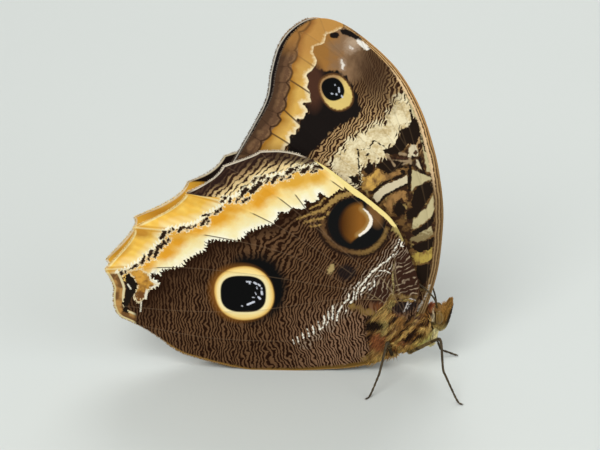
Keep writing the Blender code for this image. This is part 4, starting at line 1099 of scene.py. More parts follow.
    # The front edge: tan and brown streaks that run along it, then the white at tip and root.
    front = field("front")
    reddish = inside(z - 60.0, 24.0)
    edge = mix((0.29, 0.185, 0.08), (0.66, 0.4, 0.165), reddish)
    edge = mix((0.08, 0.04, 0.017), edge, inside(sine(5.0 * coarse + 17.0 * front), 1.3, fine, 2.0))
    ridge = mix((0.21, 0.125, 0.05), (0.42, 0.215, 0.07), reddish)
    edge = mix(edge, ridge, 0.8 * inside(0.22 - front, 0.15))
    cover(edge, inside(1.0 - front, 0.25, broken, 0.8))
    pale = inside(0.17 - abs(front - 0.88), 0.12, fine, 0.5) * inside(15.0 - abs(z - 68.0), 6.0, coarse, 6.0)
    cover((0.8, 0.57, 0.32), 0.9 * pale)
    mark((0.01, 0.007, 0.006), "tip_black", 0.25, fine, 0.6)
    mark((0.85, 0.8, 0.72), "tip_white", 0.25, fine, 0.6)
    mark((0.5, 0.45, 0.38), "root_white", 0.25, fine, 1.1)
    pale_vein = line(field("vein"), 0.26, 0.16) * inside(0.5 - outer, 0.5)
    cover((0.16, 0.1, 0.05), 0.2 * pale_vein * inside(-0.5 - field("surround"), 0.5))


def fore_upperside(paint, flat):
    z = paint.axes(flat)[1]
    paint.cover((0.014, 0.01, 0.01))
    paint.cover((0.03, 0.04, 0.11), 0.7 * paint.inside(45.0 - z, 20.0))
    paint.cover((0.72, 0.66, 0.55), paint.line(paint.field("rim"), 0.5, 0.2))


under_paint = wing_face("forewing_underside_scales", fore_underside)
upper_paint = wing_face("forewing_upperside_scales", fore_upperside)
fore_rim = spline(FORE_EDGE, MESH_STEP)
fore_rim = np.vstack((fore_rim, spline((fore_rim[-1], fore_rim[0]), MESH_STEP)[1:-1]))
fore_flat, fore_triangles = wing_sheet(fore_rim, FORE_VEINS, MESH_STEP)
fore_ridge, fore_marks = fore_fields(fore_flat, fore_rim, FORE_VEINS)
for side, name, turn in ((-1, "wing_fore_right", 0.0), (1, "wing_fore_left", FORE_SWEEP)):
    wing = build_wing(name, fore_flat, fore_triangles, fore_ridge, fore_bow, side, turn, FORE_HINGE,
                      dict(fore_marks), (under_paint, upper_paint))
    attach(wing, "root")
    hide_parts(name)

# ---------------------------------------------------------------------------------------------
# Head, thorax and abdomen: one soft skin over the flight muscles and the gut, closed and without
# seams, lying just inside the fur's surface. Its own short scales are bump.
# Each part is a row of stations: x, z, half height, half width, and the tilt in degrees.
THORAX = (
    (26.5, 6.5, 2.9, 2.8, 37), (28.4, 8, 4.1, 3.6, 37), (30.4, 9.5, 4.8, 4.1, 37), (32.6, 11.1, 5, 4.2, 36),
    (34.6, 12.6, 4.3, 3.7, 34), (36.4, 13.9, 2.6, 2.3, 26))
ABDOMEN = (
    (-1.2, 4.5, 0.6, 0.5, 0), (0.4, 4.5, 1.5, 1.3, 0), (3.2, 4.3, 2.2, 2.1, -2), (8, 4.1, 2.7, 2.6, -1),
    (14, 4.1, 3, 2.8, 1), (19.5, 4.5, 3.1, 2.9, 9), (23.4, 5.3, 3, 2.9, 20), (26.1, 6.2, 2.8, 2.7, 37))
HEAD = (
    (36.75, 14.05, 2.1, 1.9, 26), (37.5, 14.3, 2.7, 2.3, 12), (38.3, 14.4, 3, 2.4, 0),
    (39.1, 14.3, 2.6, 2.1, 0), (39.6, 14.2, 1.8, 1.5, 0), (39.85, 14.2, 0.9, 0.8, 0))
BODY = ((THORAX, 0.6), (ABDOMEN, 0.35), (HEAD, 0.42))    # each part, and how deep its fur is
THINNEST = 0.25               # half width of the skin where the body tapers off
SKIN_STEP = 0.24              # size of the grid that the parts become one skin on
SKIN_SMOOTHING = 8            # and how often that skin is smoothed
BODY_RINGS = 0.8              # spacing of a part's rings of points
UNWRAP_ANGLE = math.radians(60.0)    # faces that differ by less stay together on the bake sheet


def ring_faces(count, sides):
    """The faces of a tube, from each of its rings of points to the next."""
    faces = []
    for ring in range(0, (count - 1) * sides, sides):
        for k in range(sides):
            after = (k + 1) % sides
            faces.append((ring + k, ring + after, ring + sides + after, ring + sides + k))
    return faces


def body_tube(stations, depth, sides=36):
    """Points and faces of a closed tube through the stations, less the fur's depth."""
    rings = spline(stations, BODY_RINGS)
    points = []
    for x, z, tall, wide, tilt in rings:
        tall, wide = max(tall - depth, THINNEST), max(wide - depth, THINNEST)
        turn = math.radians(tilt)
        for k in range(sides):
            angle = 2 * math.pi * k / sides
            up = tall * math.sin(angle)
            points.append((x - up * math.sin(turn), wide * math.cos(angle), z + up * math.cos(turn)))
    ends = [tuple(range(sides))[::-1], tuple(range(len(points) - sides, len(points)))]
    return points, ring_faces(len(rings), sides) + ends


def add_mesh(name, points, faces, material=None):
    """An object of these points, given in millimetres in the animal's frame."""
    mesh = bpy.data.meshes.new(name)
    mesh.from_pydata(in_frame(points).tolist(), [], faces)
    shape = bmesh.new()
    shape.from_mesh(mesh)
    bmesh.ops.recalc_face_normals(shape, faces=shape.faces)
    shape.to_mesh(mesh)
    shape.free()
    mesh.shade_smooth()
    if material is not None:
        mesh.materials.append(material)
    return add_object(name, mesh)


def join_shapes(shapes):
    """Several lists of points and faces as one."""
    points, faces = [], []
    for more, loops in shapes:
        faces += [tuple(number + len(points) for number in loop) for loop in loops]
        points += list(map(tuple, more))
    return points, faces


def settle(thing):
    """Swaps an object's mesh for what its modifiers make of it, and drops them."""
    bpy.context.view_layer.update()
    made = thing.evaluated_get(bpy.context.evaluated_depsgraph_get())
    mesh = bpy.data.meshes.new_from_object(made)
    thing.modifiers.clear()
    thing.data = mesh
    return thing


def millimetres(mesh):
    """A mesh's points in the animal's frame, in millimetres."""
    return read(mesh.vertices, "co", 3) / MM - ORIGIN


def waviness(points, scale, seed):
    """Smooth random values about 0 at the points, from sums of turned sine waves."""
    chance = np.random.default_rng(seed)
    total = np.zeros(len(points))
    for k in range(7):
        way = chance.normal(size=3)
        way *= scale * (0.6 + 0.2 * k) / np.linalg.norm(way)
        total += np.sin(points @ way + chance.uniform(0, 2 * math.pi))
    return total / 3.2


def layered(points, ground, *layers):
    """The ground's colour at each point, with each layer's colour over it by that layer's share."""
    colour = np.tile(ground, (len(points), 1))
    for hue, share in layers:
        share = np.clip(share, 0.0, 1.0)[:, None]
        colour = colour * (1 - share) + np.array(hue) * share
    return colour


def paint_points(thing, colour):
    """Gives each point of a mesh its coat colour."""
    store(thing.data, "coat", "FLOAT_COLOR", np.column_stack((colour, np.ones(len(colour)))))


def unwrap_whole(thing, margin):
    """Lays the faces of a closed shape out on its bake sheet."""
    bpy.ops.object.select_all(action="DESELECT")
    bpy.context.view_layer.objects.active = thing
    thing.select_set(True)
    thing.data.uv_layers.new(name="OFBake")
    bpy.ops.object.mode_set(mode="EDIT")
    bpy.ops.mesh.select_all(action="SELECT")
    bpy.ops.uv.smart_project(angle_limit=UNWRAP_ANGLE, island_margin=margin)
    bpy.ops.object.mode_set(mode="OBJECT")


def body_colour(points):
    """Colour of the fur that grows at each point of the body, brown with lighter and darker streaks."""
    x, y, z = points.T
    back, over = 0.62 * x + 0.78 * z, 0.62 * z - 0.78 * x
    streak = waviness(np.column_stack((0.42 * back, 1.2 * y, 1.25 * over)), 2.6, 3)
    tint = waviness(np.column_stack((0.5 * back, y, 1.1 * over)), 1.7, 6)
    patch = waviness(np.column_stack((0.6 * back, y, over)), 1.1, 5)
    low = rise(0.53 * x - 0.85 * z - 8.6, 1.6) * rise(x - 25, 3)
    shoulder = rise(z - 14.2 - 0.2 * (x - 33), 1.4) * rise(x - 31.5, 1.5)
    chin = rise(x - 33.2, 2.4) * rise(0.53 * x - 0.85 * z - 8.4, 1.2)
    face = rise(x - 37.6, 0.8) * rise(z - 11.8, 0.8)
    collar = np.exp(-((x - 36.5) / 0.8) ** 2) * rise(z - 15.2, 0.5)
    behind_eye = np.clip(1 - np.abs(x - 37.45) / 0.22, 0, 1) * rise(z - 13.2, 0.5)
    rear = rise(25.0 - x, 3.0)
    rings = np.clip(np.cos(2 * math.pi * (x - 1.0) / 2.9) * 2.0 - 1.0, 0, 1)
    return layered(
        points, (0.37, 0.170, 0.040),
        ((0.46, 0.150, 0.034), 1.3 * patch),
        ((0.21, 0.115, 0.075), 1.5 * tint - 0.2),
        ((0.78, 0.50, 0.150), 2.2 * streak - 0.55),
        ((0.030, 0.012, 0.005), -3.6 * streak - 0.10),
        ((0.92, 0.54, 0.140), low * (1.0 + 0.8 * streak)),
        ((0.19, 0.105, 0.060), 0.75 * shoulder * (0.6 - 0.8 * streak)),
        ((0.90, 0.76, 0.235), chin * (0.85 + 0.6 * streak)),
        ((0.36, 0.185, 0.045), face * 0.8),
        ((0.30, 0.080, 0.028), 1.2 * collar),
        ((0.85, 0.68, 0.42), 1.6 * behind_eye),
        ((0.17, 0.115, 0.060), rear * 0.8),
        ((0.34, 0.25, 0.14), rear * rings * 0.7))


skin = add_mesh("body_skin", *join_shapes([body_tube(stations, depth) for stations, depth in BODY]))
remesh = skin.modifiers.new("one_skin", "REMESH")
remesh.mode = "VOXEL"
remesh.voxel_size = SKIN_STEP * MM
relax = skin.modifiers.new("relax", "SMOOTH")
relax.iterations = SKIN_SMOOTHING
settle(skin)
skin.data.shade_smooth()
unwrap_whole(skin, 0.006)
skin_points = millimetres(skin.data)
paint_points(skin, body_colour(skin_points))

skin_paint = Paint("body_skin", 0.7, specular=0.08)
skin_paint.cover(skin_paint.field("coat", "Color"))
skin_paint.cover((0.03, 0.015, 0.008), 0.35)
short_scales = skin_paint.noise(skin_paint.place(), 2600.0, stretch=(0.3, 1.0, 0.6))
skin.data.materials.append(skin_paint.finish(short_scales, distance=0.00015, strength=0.6))
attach(skin, "root")
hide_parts("thorax", "abdomen", "head")

# ---------------------------------------------------------------------------------------------
# The coat: long silky hair-scales on the thorax, lying back and down, a ruff of them behind the
# head, short ones on the face and chin, and flat scales on the abdomen. Each tuft is a thin blade.
TUFT_SIDES = 3
TUFT_POINTS = 2 * TUFT_SIDES + 1
TUFT_BEND = 0.45              # share of a tuft's length at which it bends back down
SWAY_LOW, SWAY_HIGH = (0.0, -0.22, -0.26), (0.0, 0.10, 0.26)    # how far tufts turn from their lie
SIZE_LOW, SIZE_HIGH = 0.65, 1.2                                 # and how much they differ in size
PATCH = 0.003                 # side of a tuft's patch on the bake sheet


def tuft_shape(name, width, lift, droop):
    """A pointed blade one millimetre long that rises from its root and bends back down."""
    points = []
    for reach, height, wide in ((0.0, 0.0, width), (TUFT_BEND, lift, width * 0.8)):
        for k in range(TUFT_SIDES):
            angle = 2 * math.pi * k / TUFT_SIDES + math.pi / 2
            points.append((reach, wide * math.cos(angle), height + 0.5 * wide * math.sin(angle)))
    points = np.array(points + [(1.0, 0.0, lift * droop)])
    tip = len(points) - 1
    faces = []
    for k in range(TUFT_SIDES):
        after = (k + 1) % TUFT_SIDES
        faces += [(k, after, TUFT_SIDES + after, TUFT_SIDES + k), (TUFT_SIDES + k, TUFT_SIDES + after, tip)]
    mesh = bpy.data.meshes.new(name)
    mesh.from_pydata((points * MM).tolist(), [], faces)
    mesh.shade_smooth()
    store(mesh, "spot", "FLOAT_VECTOR", np.column_stack((points[:, 0] - 0.5, points[:, 1], points[:, 0])))
    return add_object(name, mesh)


def growth_tree():
    """Scatters tufts over a surface by its own attributes: thick, stand, lie and size."""
    tree = bpy.data.node_groups.new("growth", "GeometryNodeTree")
    for name, kind in (("Surface", "Geometry"), ("Tuft", "Object"), ("Per Square Metre", "Float"),
                       ("Seed", "Int"), ("Material", "Material")):
        tree.interface.new_socket(name, in_out="INPUT", socket_type="NodeSocket" + kind)
    tree.interface.new_socket("Coat", in_out="OUTPUT", socket_type="NodeSocketGeometry")

    def node(kind, inputs, **settings):
        """What a node puts out that has these settings, and values or other outputs at its inputs."""
        made = tree.nodes.new(kind)
        for setting, value in settings.items():
            setattr(made, setting, value)
        for socket, value in inputs.items():
            if isinstance(value, bpy.types.NodeSocket):
                tree.links.new(value, made.inputs[socket])
            else:
                made.inputs[socket].default_value = value
        return made.outputs

    def attribute(name, kind="FLOAT_VECTOR"):
        return node("GeometryNodeInputNamedAttribute", {"Name": name}, data_type=kind)["Attribute"]

    given = node("NodeGroupInput", {})
    seed = given["Seed"]
    thick = node("ShaderNodeMath", {0: attribute("thick", "FLOAT"), 1: given["Per Square Metre"]},
                 operation="MULTIPLY")
    scatter = node("GeometryNodeDistributePointsOnFaces",
                   {"Mesh": given["Surface"], "Density": thick[0], "Seed": seed}, distribute_method="RANDOM")
    root = node("GeometryNodeStoreNamedAttribute",
                {"Name": "root", "Geometry": scatter["Points"], "Value": attribute("OFBake")},
                data_type="FLOAT_VECTOR", domain="POINT")
    stance = node("FunctionNodeAxesToRotation",
                  {"Primary Axis": attribute("stand"), "Secondary Axis": attribute("lie")},
                  primary_axis="Z", secondary_axis="X")
    sway = node("FunctionNodeRandomValue", {"Min": SWAY_LOW, "Max": SWAY_HIGH, "Seed": seed},
                data_type="FLOAT_VECTOR")
    swayed = node("FunctionNodeRotateRotation", {"Rotation": stance[0], "Rotate By": sway[0]},
                  rotation_space="LOCAL")
    vary = node("FunctionNodeRandomValue", {2: SIZE_LOW, 3: SIZE_HIGH, "Seed": seed}, data_type="FLOAT")
    size = node("ShaderNodeVectorMath", {0: attribute("size"), "Scale": vary[1]}, operation="SCALE")
    tuft = node("GeometryNodeObjectInfo", {"Object": given["Tuft"]})
    place = node("GeometryNodeInstanceOnPoints", {"Points": root[0], "Instance": tuft["Geometry"],
                                                  "Rotation": swayed[0], "Scale": size[0]})
    real = node("GeometryNodeRealizeInstances", {0: place[0]})
    painted = node("GeometryNodeSetMaterial", {"Geometry": real[0], "Material": given["Material"]})
    node("NodeGroupOutput", {"Coat": painted[0]})
    return tree


def grow(name, bed, tuft, density, seed, share, stand, lie, size, shade=(0.6, 1.4), root_shade=0.45):
    """Turns a bed, with its colours and its unwrap, into the coat that grows on it: tufts to the
    square millimetre, a seed, then for each of its points or for all the share of tufts, which way
    is up, which way they lie, and their length, width and lift."""
    count = len(bed.data.vertices)
    store(bed.data, "thick", "FLOAT", np.broadcast_to(share, count))
    size = np.column_stack([np.broadcast_to(part, count) for part in size])
    for label, values in (("stand", stand), ("lie", lie), ("size", size)):
        store(bed.data, label, "FLOAT_VECTOR", np.broadcast_to(values, (count, 3)))
    growth = bed.modifiers.new("growth", "NODES")
    growth.node_group = growth_group
    named = {item.name: item.identifier for item in growth_group.interface.items_tree
             if item.in_out == "INPUT"}
    for label, value in (("Tuft", tuft), ("Per Square Metre", density / MM ** 2), ("Seed", seed),
                         ("Material", coat_paint.material)):
        growth[named[label]] = value
    settle(bed)
    mesh = bed.data
    root = read(mesh.attributes["root"].data, "vector", 3)
    spot = read(mesh.attributes["spot"].data, "vector", 3)
    coat = read(mesh.attributes["coat"].data, "color", 4)
    chance = np.random.default_rng(seed)
    shades = np.repeat(chance.uniform(*shade, len(coat) // TUFT_POINTS + 1), TUFT_POINTS)[:len(coat)]
    coat[:, :3] *= (shades * (root_shade + (1 - root_shade) * spot[:, 2] * 1.25))[:, None]
    for label in ("root", "spot", "thick", "stand", "lie", "size", "coat", "OFBake"):
        found = mesh.attributes.get(label)
        if found is not None:
            mesh.attributes.remove(found)
    store(mesh, "coat", "FLOAT_COLOR", np.clip(coat, 0, 1))
    lay_out(mesh, (root[:, :2] + spot[:, :2] * PATCH)[corner_points(mesh)])
    bed.name = name
    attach(bed, "root")


def bed_on(name, surface):
    return add_object(name, surface.data.copy())


growth_group = growth_tree()
coat_paint = Paint("hair_scales", 0.55, specular=0.12)
coat_paint.cover(coat_paint.field("coat", "Color"))
coat_paint.finish()

normal = read(skin.data.vertex_normals, "vector", 3)
x, y, z = skin_points.T
under_wing = (x < 33.5) & (z > 13.0 + 0.5 * (x - 30.0)) & (np.abs(y) > 1.2)
on_head = x > 36.9
on_abdomen = x < 26.0
on_thorax = ~on_head & ~on_abdomen & ~under_wing
brow = (x > 38.6) & (z > 15.0)
collar = (np.abs(x - 36.4) < 0.8) & (z > 14.6)
lie = np.tile((-0.72, 0.0, -0.90), (len(x), 1))
lie[z < 9.0] = (-0.35, 0.0, -1.0)
lie[:, 1] = 0.25 * np.sign(y)
lie += 0.3 * np.column_stack((waviness(skin_points, 1.0, 41), 0 * x, waviness(skin_points, 1.0, 42)))
for where, way in (((x > 34.4) & (z < 13.0), (-0.35, 0.0, -1.0)),
                   (on_head, (-0.4, 0.0, 0.9)),
                   (on_head & (z < 13.4), (0.35, 0.0, -0.9)),
                   (on_abdomen, (-1.0, 0.0, -0.1)),
                   (collar, (-0.55, 0.0, 0.8)),
                   (brow, (0.45, 0.0, 0.9)),
                   (on_head & (x < 38.0) & (z > 13.0), (-0.1, 0.0, 1.0))):
    lie[where] = way

fur = tuft_shape("fur_tuft", 0.11, 0.30, 0.75)
lock = tuft_shape("fur_lock", 0.20, 0.26, 0.55)
grow("thorax_fur", bed_on("fur", skin), fur, 58.0, 11, on_thorax, normal, lie,
     (1.6 + 0.7 * rise(x - 30, 6) + 0.6 * rise(8.5 - z, 1.5), 1.1, 1.5))
grow("thorax_locks", bed_on("locks", skin), lock, 15.0, 14, on_thorax, normal, lie,
     (2.3 + 0.7 * rise(9.0 - z, 3), 1.0, 1.9), (0.5, 1.5), 0.3)
grow("collar_ruff", bed_on("ruff", skin), fur, 95.0, 15, collar, normal, lie, (1.25, 1.2, 1.6), (0.7, 1.5))
grow("chin_beard", bed_on("beard", skin), fur, 60.0, 16, (x > 34.8) & (z < 12.6), normal,
     (-0.2, 0.0, -1.0), (1.7, 1.0, 1.8), (0.7, 1.4))
grow("head_fur", bed_on("fur", skin), fur, 150.0, 12, on_head, normal, lie, (0.75 + 0.6 * brow, 0.75, 1.0))
grow("abdomen_fur", bed_on("fur", skin), fur, 32.0, 13, on_abdomen, normal, lie, (1.0, 1.3, 0.5))

# Hair-scales of the wing's own root run back and down over its first veins, outside the body.
ROOT_HAIRS = (
    (33.2, 17.2), (32, 16.8), (30.4, 16.2), (28.4, 16.2), (26.9, 17.6), (26.6, 21), (25.6, 21), (24.6, 18),
    (21.2, 16.6), (21.4, 12), (22.6, 8), (21.8, 3.4), (25.6, 4.4), (26.2, 9.8), (28.8, 11.4), (32.6, 13.6))
CREST = ((26.3, 19.1), (26.9, 20.6), (27.6, 21.4), (29.8, 22.1), (31.4, 21.9), (32.8, 21.2))
ROOT_COLUMNS, ROOT_ROWS = np.arange(19.8, 33.0, 0.5), np.arange(2.6, 22.0, 0.5)
RUSTY, OLIVE, SOOTY = (0.40, 0.140, 0.048), (0.56, 0.42, 0.140), (0.026, 0.012, 0.006)
ROOT_SPOTS = ((RUSTY, (24.2, 9.8), (1.9, 2.6)), (OLIVE, (25.6, 14.0), (0.8, 2.2)),
              (OLIVE, (27.0, 20.4), (1.2, 1.6)), (OLIVE, (30.6, 22.0), (2.6, 0.7)),
              (SOOTY, (23.0, 14.6), (2.4, 1.5)), (SOOTY, (26.4, 7.4), (0.6, 1.8)))


def waviness_flat(points, scale, seed):
    return waviness(np.column_stack((points, np.zeros(len(points)))), scale, seed)


def root_hair_colour(points):
    """Colour of the hair over a wing's root: streaks, and spots of a hue with centre and radii."""
    x, z = points.T
    back, over = 0.70 * x + 0.71 * z, 0.70 * z - 0.71 * x
    streak = waviness_flat(np.column_stack((0.5 * back, 1.4 * over)), 2.2, 9)
    spots = [(hue, 2.5 * (1.25 - np.hypot((x - middle[0]) / radii[0], (z - middle[1]) / radii[1])))
             for hue, middle, radii in ROOT_SPOTS]
    return layered(points, (0.46, 0.225, 0.062), ((0.72, 0.48, 0.150), 1.8 * streak - 0.2),
                   ((0.036, 0.015, 0.007), -3.0 * streak - 0.3),
                   ((0.70, 0.41, 0.100), rise(5.6 - z, 2.0)), *spots)


grid = np.array([(column, row) for row in ROOT_ROWS for column in ROOT_COLUMNS])
thick = np.clip(depth_in(grid, ROOT_HAIRS) / 1.6 + 0.35, 0, 1)
on_crest = (grid[:, 1] > 18.5) & (grid[:, 0] > 26.0)
thick[on_crest] = 0.75 * np.clip(1.4 - to_line(grid, CREST)[0] / 0.6, 0, 1)[on_crest]
lie = np.tile((-0.65, 0.0, -0.85), (len(grid), 1))
lie[on_crest] = (-1.0, 0.0, -0.35)
lie[on_crest & (grid[:, 0] < 28.0)] = (-0.55, 0.0, -1.0)
for side, name in ((-1, "wing_root_hair_right"), (1, "wing_root_hair_left")):
    out = side * (hind_bow(grid) + WING_HALF + 0.02)
    wide = len(ROOT_COLUMNS)
    squares = [(j * wide + i, j * wide + i + 1, (j + 1) * wide + i + 1, (j + 1) * wide + i)
               for j in range(len(ROOT_ROWS) - 1) for i in range(wide - 1)]
    bed = add_mesh(name, np.column_stack((grid[:, 0], out, grid[:, 1])), squares)
    paint_points(bed, root_hair_colour(grid))
    lay_out(bed.data, unwrap(grid, grid)[corner_points(bed.data)])
    grow(name, bed, lock, 16.0, 51 + side, thick, (0.0, side, 0.0), lie,
         (np.where(on_crest, 1.3, 2.1), 0.55, 0.75), (0.5, 1.5), 0.5)

# ---------------------------------------------------------------------------------------------
# Fringes: a row of short scales standing out from each wing's outer margin, as pale as its edge.
# They grow on a narrow strip along the edge and end where the wing rests on the floor.
FRINGE_LENGTH = 0.42
FRINGE_STRIP = 0.2
CLEAR_OF_FLOOR = 0.8

fringe_scale = tuft_shape("fringe_scale", 0.10, 0.04, 0.3)
hind_x, hind_z = hind_rim.T
fore_x, fore_z = fore_rim.T
hind_fringed = (hind_z > CLEAR_OF_FLOOR) & (hind_x < 22.0) & ((hind_x < 4.0) | (hind_z < 5.0))
fore_fringed = (fore_x < 8.0) & (fore_z > 56.0)
hind_fringe = layered(hind_rim, (0.66, 0.57, 0.44), ((0.92, 0.66, 0.26), (51.5 - hind_z) / 0.6),
                      ((0.52, 0.34, 0.14), (28.0 - hind_z) / 2.0),
                      ((0.32, 0.18, 0.050), (14.0 - hind_z) / 2.0))
fore_fringe = layered(fore_rim, (0.17, 0.12, 0.085), ((0.34, 0.19, 0.070), (fore_z - 86.0) / 5.0))
for wing, rim, fringed, colour, flat, bow, hinge, sweep in (
        ("wing_hind", hind_rim, hind_fringed, hind_fringe, hind_flat, hind_bow, HIND_HINGE, 0.0),
        ("wing_fore", fore_rim, fore_fringed, fore_fringe, fore_flat, fore_bow, FORE_HINGE, FORE_SWEEP)):
    for side, name in ((-1, wing + "_right_fringe"), (1, wing + "_left_fringe")):
        edge = swept(rim, hinge, sweep if side > 0 else 0.0)
        middle = bow(edge)
        along = np.roll(edge, -1, axis=0) - np.roll(edge, 1, axis=0)
        outward = np.column_stack((along[:, 1], 0 * middle, -along[:, 0]))
        turns = np.sum(edge[:, 0] * np.roll(edge[:, 1], -1) - edge[:, 1] * np.roll(edge[:, 0], -1))
        outward *= np.sign(turns)
        count = len(edge)
        strips = [np.column_stack((edge[:, 0], side * (middle + offset), edge[:, 1]))
                  for offset in (-FRINGE_STRIP / 2, FRINGE_STRIP / 2)]
        faces = [(i, (i + 1) % count, count + (i + 1) % count, count + i) for i in range(count)]
        bed = add_mesh(name, np.vstack(strips), faces)
        paint_points(bed, np.vstack((colour, colour)))
        lay_out(bed.data, unwrap(rim, flat)[corner_points(bed.data) % count])
        grow(name, bed, fringe_scale, 50.0, 71 + side, np.tile(fringed, 2), (0.0, side, 0.0),
             np.vstack((outward, outward)), (FRINGE_LENGTH, 0.9, 0.6), (0.7, 1.3), 0.8)

# ---------------------------------------------------------------------------------------------
# Eyes: large domes of tiny hexagonal lenses, olive with darker standing bands and a pale rim
# towards the back. The lenses are bump.
EYE_PLACE = (38.7, 2.0, 15.0)
EYE_RADII = (1.45, 1.15, 1.9)
# Where each dark band and the rim stand before or behind the eye's centre, and how wide each is.
EYE_BANDS = ((-0.80, 0.36), (-0.34, 0.16), (0.04, 0.12), (0.42, 0.10), (0.80, 0.12))
EYE_RIM = (-1.14, 0.16)
LENSES_TO_THE_METRE = 9000.0


def ellipsoid(place, radii, rings=28, sides=40):
    points = [(place[0], place[1], place[2] + radii[2])]
    for i in range(1, rings):
        up = math.pi * i / rings
        points += [(place[0] + radii[0] * math.sin(up) * math.cos(2 * math.pi * k / sides),
                    place[1] + radii[1] * math.sin(up) * math.sin(2 * math.pi * k / sides),
                    place[2] + radii[2] * math.cos(up)) for k in range(sides)]
    points.append((place[0], place[1], place[2] - radii[2]))
    faces = [(0, 1 + k, 1 + (k + 1) % sides) for k in range(sides)]
    for i in range(rings - 2):
        low, high = 1 + i * sides, 1 + (i + 1) * sides
        faces += [(low + k, high + k, high + (k + 1) % sides, low + (k + 1) % sides) for k in range(sides)]
    last = 1 + (rings - 2) * sides
    faces += [(last + k, len(points) - 1, last + (k + 1) % sides) for k in range(sides)]
    return points, faces


eye_paint = Paint("eye_lenses", 0.15, specular=0.16)
eye_place = eye_paint.place()
across = eye_paint.axes(eye_place)[0] * (1.0 / MM) - (ORIGIN[0] + EYE_PLACE[0])
across = across + 0.25 * eye_paint.noise(eye_place, 700.0)
eye_paint.cover((0.22, 0.125, 0.028))
for middle, width in EYE_BANDS:
    eye_paint.cover((0.016, 0.010, 0.005), 0.9 * eye_paint.line(abs(across - middle), width, 0.10))
eye_paint.cover((0.020, 0.010, 0.004), eye_paint.inside(EYE_RIM[0] - across, 0.08))
eye_paint.cover((0.78, 0.66, 0.42), eye_paint.line(abs(across - EYE_RIM[0]), EYE_RIM[1], 0.06))
lenses = eye_paint.node("TexVoronoi", eye_place, 0.0, LENSES_TO_THE_METRE, output="Distance")
eye_paint.finish(-1.0 * lenses, distance=0.00002, strength=0.3)
for side, name in ((-1, "eye_right"), (1, "eye_left")):
    eye = add_mesh(name, *ellipsoid((EYE_PLACE[0], side * EYE_PLACE[1], EYE_PLACE[2]), EYE_RADII),
                   eye_paint.material)
    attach(eye, "root")
    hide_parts(name)

# ---------------------------------------------------------------------------------------------
# Palps, coiled tongue and feelers: jointed tubes of hard cuticle. The palps stand up before the
# face and are bristly; the feelers lie back between the wings and end in slender clubs.
# Stations of a palp: x, y, z and two radii.
PALP = (
    (37.9, 0.95, 12.1, 0.42, 0.34), (38.9, 1, 11.4, 0.55, 0.4), (39.9, 1, 12.2, 0.74, 0.44),
    (40.5, 1, 14, 0.82, 0.44), (41, 0.98, 15.8, 0.68, 0.4), (41.5, 0.9, 17.4, 0.42, 0.32),
    (41.9, 0.85, 18.7, 0.14, 0.18))
PALP_SKIN = 0.86                         # share of the radii that lies under the bristles
ROUND_END = 0.6                          # how far a tube's end bulges, by its radius
TONGUE_COIL = (0.16, 0.62, 2.6, 0.15)    # inner radius, growth, turns, and the tongue's own radius
TONGUE_STATIONS = 90
ANTENNA_FREE = ((38.2, 0.7, 16), (38.2, 1, 18.2), (37.6, 2, 20.4), (36.7, 2.85, 22.2))
ANTENNA_TUCKED = ((35.1, 24), (33.3, 25.6), (29.2, 29.8), (24.4, 34.6), (20.6, 38.2), (17.6, 41))
ANTENNA_RADIUS = 0.27
CLUB = (0.42, 5.5)                       # radius and length
RING_PITCH, RING_DEPTH = 0.68, 0.16      # the feelers' rings, and the share they are thinner by


def tube(stations, sides=12, step=0.25):
    """A round-ended tube through stations of x, y, z and radius, with a second radius if given."""
    curve = spline(stations, step)
    along = np.gradient(curve[:, :3], axis=0)
    along /= np.linalg.norm(along, axis=1)[:, None]
    points = []
    across = np.cross(along[0], (0.0, 1.0, 0.0))
    for place, way in zip(curve, along):
        across = across - way * (across @ way)
        across /= np.linalg.norm(across)
        other = np.cross(way, across)
        for k in range(sides):
            angle = 2 * math.pi * k / sides
            points.append(place[:3] + across * place[3] * math.cos(angle)
                          + other * place[-1] * math.sin(angle))
    first, last, end = len(points), len(points) + 1, len(points) - sides
    points += [curve[0, :3] - along[0] * curve[0, 3] * ROUND_END,
               curve[-1, :3] + along[-1] * curve[-1, 3] * ROUND_END]
    faces = ring_faces(len(curve), sides)
    faces += [(first, (k + 1) % sides, k) for k in range(sides)]
    faces += [(last, end + k, end + (k + 1) % sides) for k in range(sides)]
    return points, faces


bristle = tuft_shape("bristle", 0.10, 0.28, 0.9)
for side, name in ((-1, "palp_right"), (1, "palp_left")):
    stations = [(x, side * y, z, wide * PALP_SKIN, deep * PALP_SKIN) for x, y, z, wide, deep in PALP]
    palp = add_mesh(name, *tube(stations, 16), coat_paint.material)
    place = millimetres(palp.data)
    height = place[:, 2]
    front = place[:, 0] - np.interp(height, [p[2] for p in PALP[1:]], [p[0] for p in PALP[1:]])
    paint_points(palp, layered(place, (0.40, 0.205, 0.046), ((0.030, 0.018, 0.008), (front - 0.12) / 0.2),
                               ((0.50, 0.39, 0.14), (13.0 - height) / 2.0)))
    unwrap_whole(palp, 0.01)
    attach(palp, "root")
    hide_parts(name)
    rear = front < -0.1
    lie = np.tile((0.25, 0.0, 1.0), (len(place), 1))
    lie[rear] = (-0.6, 0.0, 1.0)
    lie[height > 16.8] = (0.42, 0.0, 1.0)
    long = np.where(rear & (height > 12.5) & (height < 16.4), 1.8, 0.75)
    long[height > 17.6] = 0.55
    grow(name + "_bristles", bed_on("bristles", palp), bristle, 110.0, 21 + side, 1.0,
         read(palp.data.vertex_normals, "vector", 3), lie, (long, 0.9, 1.3), (0.6, 1.5))

chitin = Paint("dark_cuticle", 0.45, specular=0.25)
chitin.cover((0.034, 0.023, 0.009))
chitin.cover((0.075, 0.050, 0.018), chitin.inside(chitin.noise(chitin.place(), 900.0), 0.3))
chitin.finish(chitin.noise(chitin.place(), 5000.0), distance=0.00003, strength=0.5)

